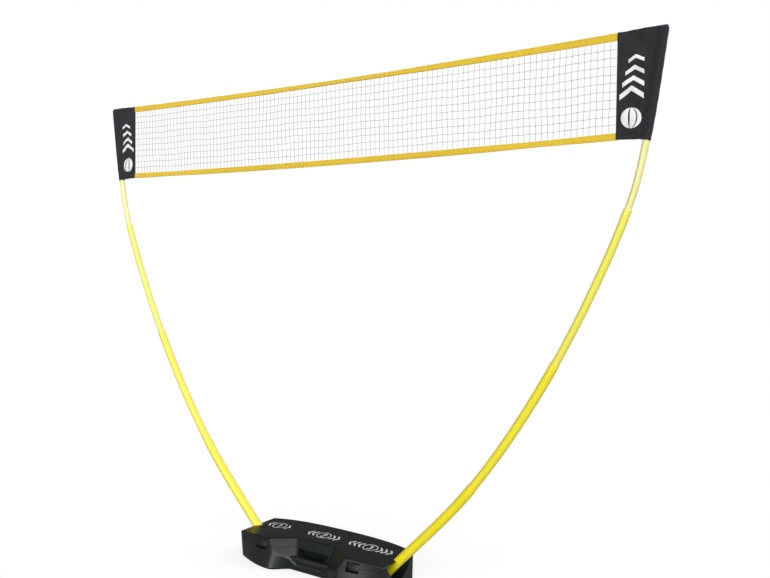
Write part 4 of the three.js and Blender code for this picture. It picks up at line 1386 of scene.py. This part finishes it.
def case_body():
    """The body: a shell open at the top, with lands, bay cones, cup housings and a finger
    pocket joined in and then opened, and the hinge's lower leaf."""
    outer = case_block(
        0,
        low=lambda x, draw: CASE_BOTTOM_Z + draw,
        high=lambda x, draw: PARTING_Z,
        foot_round=8,
        head_round=0.9,
    )
    hollow = case_block(
        BODY_WALL,
        low=lambda x, draw: CASE_BOTTOM_Z + BODY_WALL + draw,
        high=lambda x, draw: PARTING_Z + 10,
        foot_round=5,
        head_round=1,
    )
    room = case_block(
        WITHIN_WALL,
        low=lambda x, draw: CASE_BOTTOM_Z + WITHIN_WALL + draw,
        high=lambda x, draw: BAY_CEILING_Z,
        foot_round=5,
        head_round=1,
        step=(PARTING_Z - 0.5, TONGUE_INSET),
    )
    housings = carved(
        both_sides(bay_tool(BAY_WALL)),
        ("UNION", both_sides(foot_bar(CUP_OUTER + 3, CUP_BOTTOM - 3, THROAT_AT + 1))),
        ("UNION", pocket_tool(POCKET_WALL), latch_pocket(LAND, high=PARTING_Z - 0.2)),
        ("INTERSECT", room),
    )
    barrel_room = [(-LID_KNUCKLE_HALF - 1, LID_KNUCKLE_HALF + 1)]
    cutters = [
        pocket_tool(0),
        latch_pocket(0),
        both_sides(bay_tool(0)),
        both_sides(foot_bar(CUP_OUTER + GAP, CUP_BOTTOM - GAP, THROAT_AT + 2)),
        hinge_bars(HINGE_RADIUS + BARREL_GAP, barrel_room, 0),
    ]
    return carved(
        outer,
        ("DIFFERENCE", hollow),
        ("UNION", housings),
        ("DIFFERENCE", *cutters),
        ("UNION", hinge_bars(HINGE_RADIUS, BODY_KNUCKLES), hinge_webs(BODY_KNUCKLES, below=True)),
        ("DIFFERENCE", hinge_bars(HINGE_PIN_RADIUS + GAP, WHOLE_HINGE, 0)),
    )


def case_lid():
    """The lid: a crowned shell, notched where the poles leave the case, with the lands that
    hold the latch pins and the hinge's upper leaf."""
    outer = case_block(
        0,
        low=lambda x, draw: PARTING_Z + GAP,
        high=lambda x, draw: lid_top(x) - draw,
        foot_round=0.9,
        head_round=5,
    )
    hollow = case_block(
        LID_WALL,
        low=lambda x, draw: PARTING_Z - 10,
        high=lambda x, draw: lid_top(x) - LID_WALL - draw,
        foot_round=1,
        head_round=3,
    )
    room = case_block(
        WITHIN_WALL,
        low=lambda x, draw: PARTING_Z + GAP,
        high=lambda x, draw: lid_top(x) - WITHIN_WALL - draw,
        foot_round=0.5,
        head_round=3,
    )
    lands = carved(
        latch_pocket(LAND, low=PARTING_Z - 5, high=LATCH_POCKET_HIGH_Z + 3),
        ("INTERSECT", room),
    )
    # A disc wider than the case, up to the roof at the lid's edge.
    under_roof = turned([(560, -40), (560, LID_EDGE_Z - LID_WALL)], (0, 0, 0), (0, 0, 1), 16)
    bays = carved(both_sides(bay_tool(0)), ("INTERSECT", under_roof))
    barrel_room = [(low_x - 1, high_x + 1) for low_x, high_x in BODY_KNUCKLES]
    return carved(
        outer,
        ("DIFFERENCE", hollow),
        ("UNION", lands),
        ("DIFFERENCE", latch_pocket(0)),
        ("DIFFERENCE", hinge_bars(HINGE_RADIUS + BARREL_GAP, barrel_room, 0), bays),
        ("DIFFERENCE", both_sides(foot_bar(POLE_NOTCH_RADIUS, THROAT_AT, BAY_DEPTH))),
        ("UNION", hinge_bars(HINGE_RADIUS, LID_KNUCKLES), hinge_webs(LID_KNUCKLES, below=False)),
        ("DIFFERENCE", hinge_bars(HINGE_PIN_RADIUS + GAP, WHOLE_HINGE, 0)),
    )


# --------------------------------------------------------------- case and its fittings


def mirrored(mesh):
    """A copy of a right-hand mesh on the left, its faces turned to point outwards again."""
    copy = mesh.copy()
    copy.transform(Matrix.Scale(-1, 4, (1, 0, 0)))
    copy.flip_normals()
    return copy


def pin_profile(radius, half_length):
    """A round pin with a small chamfer at both ends, as (radius, distance)."""
    return [
        (radius - 0.5, -half_length),
        (radius, 0.5 - half_length),
        (radius, half_length - 0.5),
        (radius - 0.5, half_length),
    ]


def latch():
    """A plate that hangs from its pin, flush with the wall, with a hooked back and a toe for
    the fingers, moulded in one with the barrel about the pin."""
    corners = [
        (LATCH_PIN_Y + 2, LATCH_PIN_Z),
        (LATCH_PIN_Y - 3.9, LATCH_PIN_Z),
        (LATCH_PIN_Y - 4.2, LATCH_PIN_Z - 5),
        (LATCH_PIN_Y - 7.8, LATCH_PIN_Z - 14),
        (LATCH_PIN_Y - 11, LATCH_TOE_Z + 1.5),
        (LATCH_PIN_Y - 10, LATCH_TOE_Z),
        (LATCH_PIN_Y - 4.5, LATCH_TOE_Z + 3),
        (LATCH_PIN_Y + 3, LATCH_TOE_Z + 4),
        (LATCH_PIN_Y + 3, LATCH_TOE_Z + 6.5),
        (LATCH_PIN_Y - 1, LATCH_TOE_Z + 9),
        (LATCH_PIN_Y - 1, LATCH_PIN_Z - 10),
    ]
    low, high = LATCH_X - LATCH_HALF_WIDTH, LATCH_X + LATCH_HALF_WIDTH
    pin_line = (LATCH_X, LATCH_PIN_Y, LATCH_PIN_Z)
    barrel = turned(pin_profile(LATCH_BARREL_RADIUS, LATCH_HALF_WIDTH), pin_line, (1, 0, 0))
    bore, past = LATCH_PIN_RADIUS + GAP, LATCH_HALF_WIDTH + 2
    hole = turned([(bore, -past), (bore, past)], pin_line, (1, 0, 0))
    plate = bar_along_x(rounded(corners, 1.6), low, high, 1)
    return carved(plate, ("UNION", barrel), ("DIFFERENCE", hole))


def grip():
    """The grip: along X, a superellipse of power 10/3 that gets slimmer at its ends."""
    x = np.linspace(-1, 1, 61)[:, None]
    slim = 1 - 0.16 * x**4
    angle = np.linspace(0, 2 * pi, 48, endpoint=False)[None]
    wave_y, wave_z = np.cos(angle), np.sin(angle)
    y = GRIP_Y + np.sign(wave_y) * np.abs(wave_y) ** 0.6 * GRIP_DEPTH / 2 * slim
    z = GRIP_Z + np.sign(wave_z) * np.abs(wave_z) ** 0.6 * GRIP_HEIGHT / 2 * slim
    grid = np.stack([x * GRIP_HALF_LENGTH + 0 * y, y, z], axis=2)
    return grid_skin(grid, round_columns=True, capped=True)


def pole_socket():
    """The cup for the pole's foot: a floor, a wall and a flange, turned on the foot's axis."""
    rim = THROAT_AT + CUP_FLANGE_HEIGHT
    profile = [
        (CUP_OUTER - 1, CUP_BOTTOM),
        (CUP_OUTER, CUP_BOTTOM + 1),
        (CUP_OUTER, THROAT_AT + GAP),
        (CUP_FLANGE_RADIUS, THROAT_AT + GAP),
        (CUP_FLANGE_RADIUS, rim),
        (CUP_BORE + 1.5, rim),
        (CUP_BORE, THROAT_AT),
        (CUP_BORE, 0),
    ]
    return turned(rounded(profile, 0.9, closed=False), FOOT_POINT, FOOT_AXIS, 64)


def rubber_foot(y):
    """A disc with a rounded edge under the floor, and its stem up through it."""
    under = CASE_BOTTOM_Z - GAP
    profile = [
        (FOOT_RADIUS - 3, 0),
        (FOOT_RADIUS, 0),
        (FOOT_RADIUS, under),
        (FOOT_STEM_RADIUS, under),
        (FOOT_STEM_RADIUS, FOOT_STEM_TOP_Z - 1),
        (FOOT_STEM_RADIUS - 1.5, FOOT_STEM_TOP_Z),
    ]
    return turned(rounded(profile, 1.3, closed=False), (FOOT_X, y, 0), (0, 0, 1))


def plug_on_pole(profile):
    """A rubber plug or cap turned about the pole's bowed line."""
    rings = rounded(profile, 0.8, closed=False)
    return turned_on_pole(rings[:, 0], rings[:, 1])


TIP_RADIUS = SECTION_RADII[-1]
TIP_BORE = TIP_RADIUS - TUBE_WALL - GAP
FOOT_BORE = SECTION_RADII[0] - TUBE_WALL - GAP
foot_plug = plug_on_pole(
    [
        (SECTION_RADII[0] - 1.4, 0.3),
        (SECTION_RADII[0], 1.4),
        (SECTION_RADII[0], PLUG_HEAD - GAP),
        (FOOT_BORE, PLUG_HEAD - GAP),
        (FOOT_BORE, 21),
        (FOOT_BORE - 1, 22),
    ]
)
tip_cap = plug_on_pole(
    [
        (TIP_BORE - 1, TUBE_END - 18),
        (TIP_BORE, TUBE_END - 17),
        (TIP_BORE, TUBE_END + GAP),
        (TIP_RADIUS, TUBE_END + GAP),
        (TIP_RADIUS, TUBE_END + 3),
        (TIP_RADIUS - 3, TUBE_END + 6),
        (2, TUBE_END + 7.5),
    ]
)
hinge_pin = turned(
    pin_profile(HINGE_PIN_RADIUS, BODY_KNUCKLE_END + 1.5),
    (HINGE_X, HINGE_Y, PARTING_Z),
    (1, 0, 0),
)
latch_pin = turned(
    pin_profile(LATCH_PIN_RADIUS, LATCH_POCKET_HALF_WIDTH + 2),
    (LATCH_X, LATCH_PIN_Y, LATCH_PIN_Z),
    (1, 0, 0),
)

for name, mesh, body, node in (
    ("case_body_shell", case_body(), "case", "case_body"),
    ("case_lid_shell", case_lid(), "lid", "case_lid"),
):
    dress(name, mesh, case_plastic, body, [node], sharp=32)
dress("grip_bar", grip(), grip_plastic, "case", ["carry_handle"])

FITTINGS = (
    ("socket_cup", pole_socket(), grip_plastic, "case", "grip_plastic", "pole_socket"),
    ("front_rubber_foot", rubber_foot(-FOOT_Y), foot_rubber, "case", "rubber", "front_foot"),
    ("back_rubber_foot", rubber_foot(FOOT_Y), foot_rubber, "case", "rubber", "back_foot"),
    ("foot_plug", foot_plug, foot_rubber, "case", "rubber", "pole_foot_plug"),
    ("tip_cap", tip_cap, foot_rubber, "case", "rubber", "pole_tip_cap"),
    ("hinge_wire", hinge_pin, pin_steel, "case", "steel", "hinge_pin"),
    ("latch_wire", latch_pin, pin_steel, "lid", "steel", "latch_pin"),
)
latch_mesh = latch()
for side_name, side in SIDES.items():
    for name, shape, finish, body, slot, node in FITTINGS:
        piece = on_side(shape, side)
        dress(f"{name}_{side_name}", piece, finish, body, [f"{node}_{side_name}"])
    dress(
        f"latch_plate_{side_name}",
        latch_mesh.copy() if side > 0 else mirrored(latch_mesh),
        latch_plastic,
        f"{side_name}_latch",
        [f"latch_{side_name}"],
    )

# -------------------------------------------------------------------- marks on the lid

MARK_FILM = 0.12
MARK_PLACES = ((-302, 38), (-30, 38), (236, 38))
RING_RADIUS = 34
RING_LINE = 5
DIGIT_HALF_SIZE = (15, 20)
DIGIT_LINE = 7
CHEVRON_START = 62
CHEVRON_PITCH = 26
CHEVRON_WING = (18, 26)
CHEVRON_LINE = 9
# Each digit as strokes through places that run from -1 to 1 over its half size.
DIGITS = {
    "1": [[(-0.28, 0.55), (0.08, 1.0), (0.08, -1.0)]],
    "2": [
        [(-0.55, 0.5), (-0.3, 0.92), (0.25, 0.95), (0.55, 0.5), (0.3, 0.0), (-0.6, -1.0)],
        [(-0.6, -1.0), (0.65, -1.0)],
    ],
    "3": [
        [(-0.55, 0.75), (0.0, 1.0), (0.5, 0.62), (0.3, 0.15), (-0.1, 0.05)],
        [(-0.1, 0.05), (0.45, -0.1), (0.58, -0.6), (0.05, -1.0), (-0.6, -0.75)],
    ],
}


def stroke(path, width):
    """A ribbon of ink on the lid along a path of (x, y): the path moved half the width each
    way along its normals, and raised to the lid's crown."""
    path = np.asarray(path, float)
    length = lengths_along(path)
    places = np.linspace(0, length[-1], max(4, int(length[-1] / 1.6)))
    line = points_along(path, length, places)
    along = unit(np.gradient(line, axis=0))
    normal = np.stack([-along[:, 1], along[:, 0]], axis=1)
    share = np.linspace(-0.5, 0.5, 3)
    plan = line[:, None] + normal[:, None] * share[None, :, None] * width
    height = lid_top(plan[..., 0]) + MARK_FILM / 2 + 0.02
    grid = np.concatenate([plan, height[..., None]], axis=2)
    return cloth_skin(grid, np.zeros(plan.shape), MARK_FILM)


def lid_marks():
    """Three plain numbers, each in a ring and between rows of chevrons that point out."""
    films = []
    angle = np.radians(np.linspace(0, 359, 80))
    ring = np.stack([np.cos(angle), np.sin(angle)], axis=1)
    back, spread = CHEVRON_WING
    for number, (centre, strokes) in enumerate(zip(MARK_PLACES, DIGITS.values()), 1):
        films.append(stroke(centre + RING_RADIUS * ring, RING_LINE))
        for path in strokes:
            films.append(stroke(centre + np.asarray(path) * DIGIT_HALF_SIZE, DIGIT_LINE))
        for side in SIDES.values():
            for step in range(number):
                tip = np.add(centre, (side * (CHEVRON_START + CHEVRON_PITCH * step), 0))
                corner = [tip + (-side * back, spread), tip, tip + (-side * back, -spread)]
                films.append(stroke(corner, CHEVRON_LINE))
    return joined(*films)


dress("lid_marks", lid_marks(), case_ink, "lid")

# ---------------------------------------------------------------------- floor and light

# The share of light that the floor's paint throws back, and the light of the lamps on it,
# where 1 would show white paint as white. Its glow adds what is then missing from white.
FLOOR_ALBEDO = 0.4
FLOOR_LIGHT = 0.68
SKY_STRENGTH = 0.05
GLOSS_SHARE = 0.1
FLOOR_HALF_WIDTH = 200.0
FLOOR_CORNERS = ((-1, -1), (1, -1), (1, 1), (-1, 1))
# Each lamp's name, strength, width in degrees and the direction towards it.
LAMPS = (
    ("key_light", 2.8, 80, (0.6, -0.72, 0.35)),
    ("front_light", 1.3, 40, (-0.1, -0.97, 0.2)),
    ("back_light", 1.3, 60, (0.6, 0.6, 0.53)),
)


def seen_share(tree):
    """How much of the white background a ray meets: all of it from the camera and through
    glass, and a share in gloss, which keeps the black case black."""
    path = add(tree, "ShaderNodeLightPath").outputs
    clear = add(
        tree,
        "ShaderNodeMath",
        {0: path["Is Camera Ray"], 1: path["Is Transmission Ray"]},
        operation="MAXIMUM",
    ).outputs["Value"]
    return add(
        tree,
        "ShaderNodeMath",
        {0: path["Is Glossy Ray"], 1: GLOSS_SHARE, 2: clear},
        operation="MULTIPLY_ADD",
    ).outputs["Value"]


def studio():
    """Wide soft lamps in a dim room, and a sky and a pale floor that glow for the camera
    and a little in gloss, so both read as white and the floor keeps the object's shadow."""
    world = bpy.data.worlds.new("studio")
    world.use_nodes = True
    tree = world.node_tree
    tree.nodes.clear()
    seen = seen_share(tree)
    strength = add(
        tree,
        "ShaderNodeMath",
        {0: seen, 1: 1 - SKY_STRENGTH, 2: SKY_STRENGTH},
        operation="MULTIPLY_ADD",
    ).outputs["Value"]
    sky = add(tree, "ShaderNodeBackground", {"Color": (1, 1, 1, 1), "Strength": strength})
    add(tree, "ShaderNodeOutputWorld", {"Surface": sky.outputs["Background"]})
    bpy.context.scene.world = world

    for name, strength, width, towards in LAMPS:
        lamp = bpy.data.lights.new(name, "SUN")
        lamp.energy = strength
        lamp.angle = radians(width)
        sun = placed(name, lamp)
        sun.rotation_euler = Vector(towards).to_track_quat("Z", "Y").to_euler()

    paint, tree = new_material("floor_white_paint")
    matt = add(tree, "ShaderNodeBsdfDiffuse", {"Color": (FLOOR_ALBEDO,) * 3 + (1,)})
    seen = seen_share(tree)
    share = add(
        tree,
        "ShaderNodeMath",
        {0: seen, 1: 1 - FLOOR_ALBEDO * FLOOR_LIGHT},
        operation="MULTIPLY",
    ).outputs["Value"]
    glow = add(tree, "ShaderNodeEmission", {"Color": (1, 1, 1, 1), "Strength": share})
    both = add(
        tree,
        "ShaderNodeAddShader",
        {0: matt.outputs["BSDF"], 1: glow.outputs["Emission"]},
    )
    add(tree, "ShaderNodeOutputMaterial", {"Surface": both.outputs["Shader"]})
    corners = [(x * FLOOR_HALF_WIDTH, y * FLOOR_HALF_WIDTH, 0) for x, y in FLOOR_CORNERS]
    mesh = bpy.data.meshes.new("floor")
    mesh.from_pydata(corners, [], [(0, 1, 2, 3)])
    mesh.materials.append(paint)
    floor = placed("floor", mesh)


studio()
bpy.context.scene.view_settings.view_transform = "Standard"
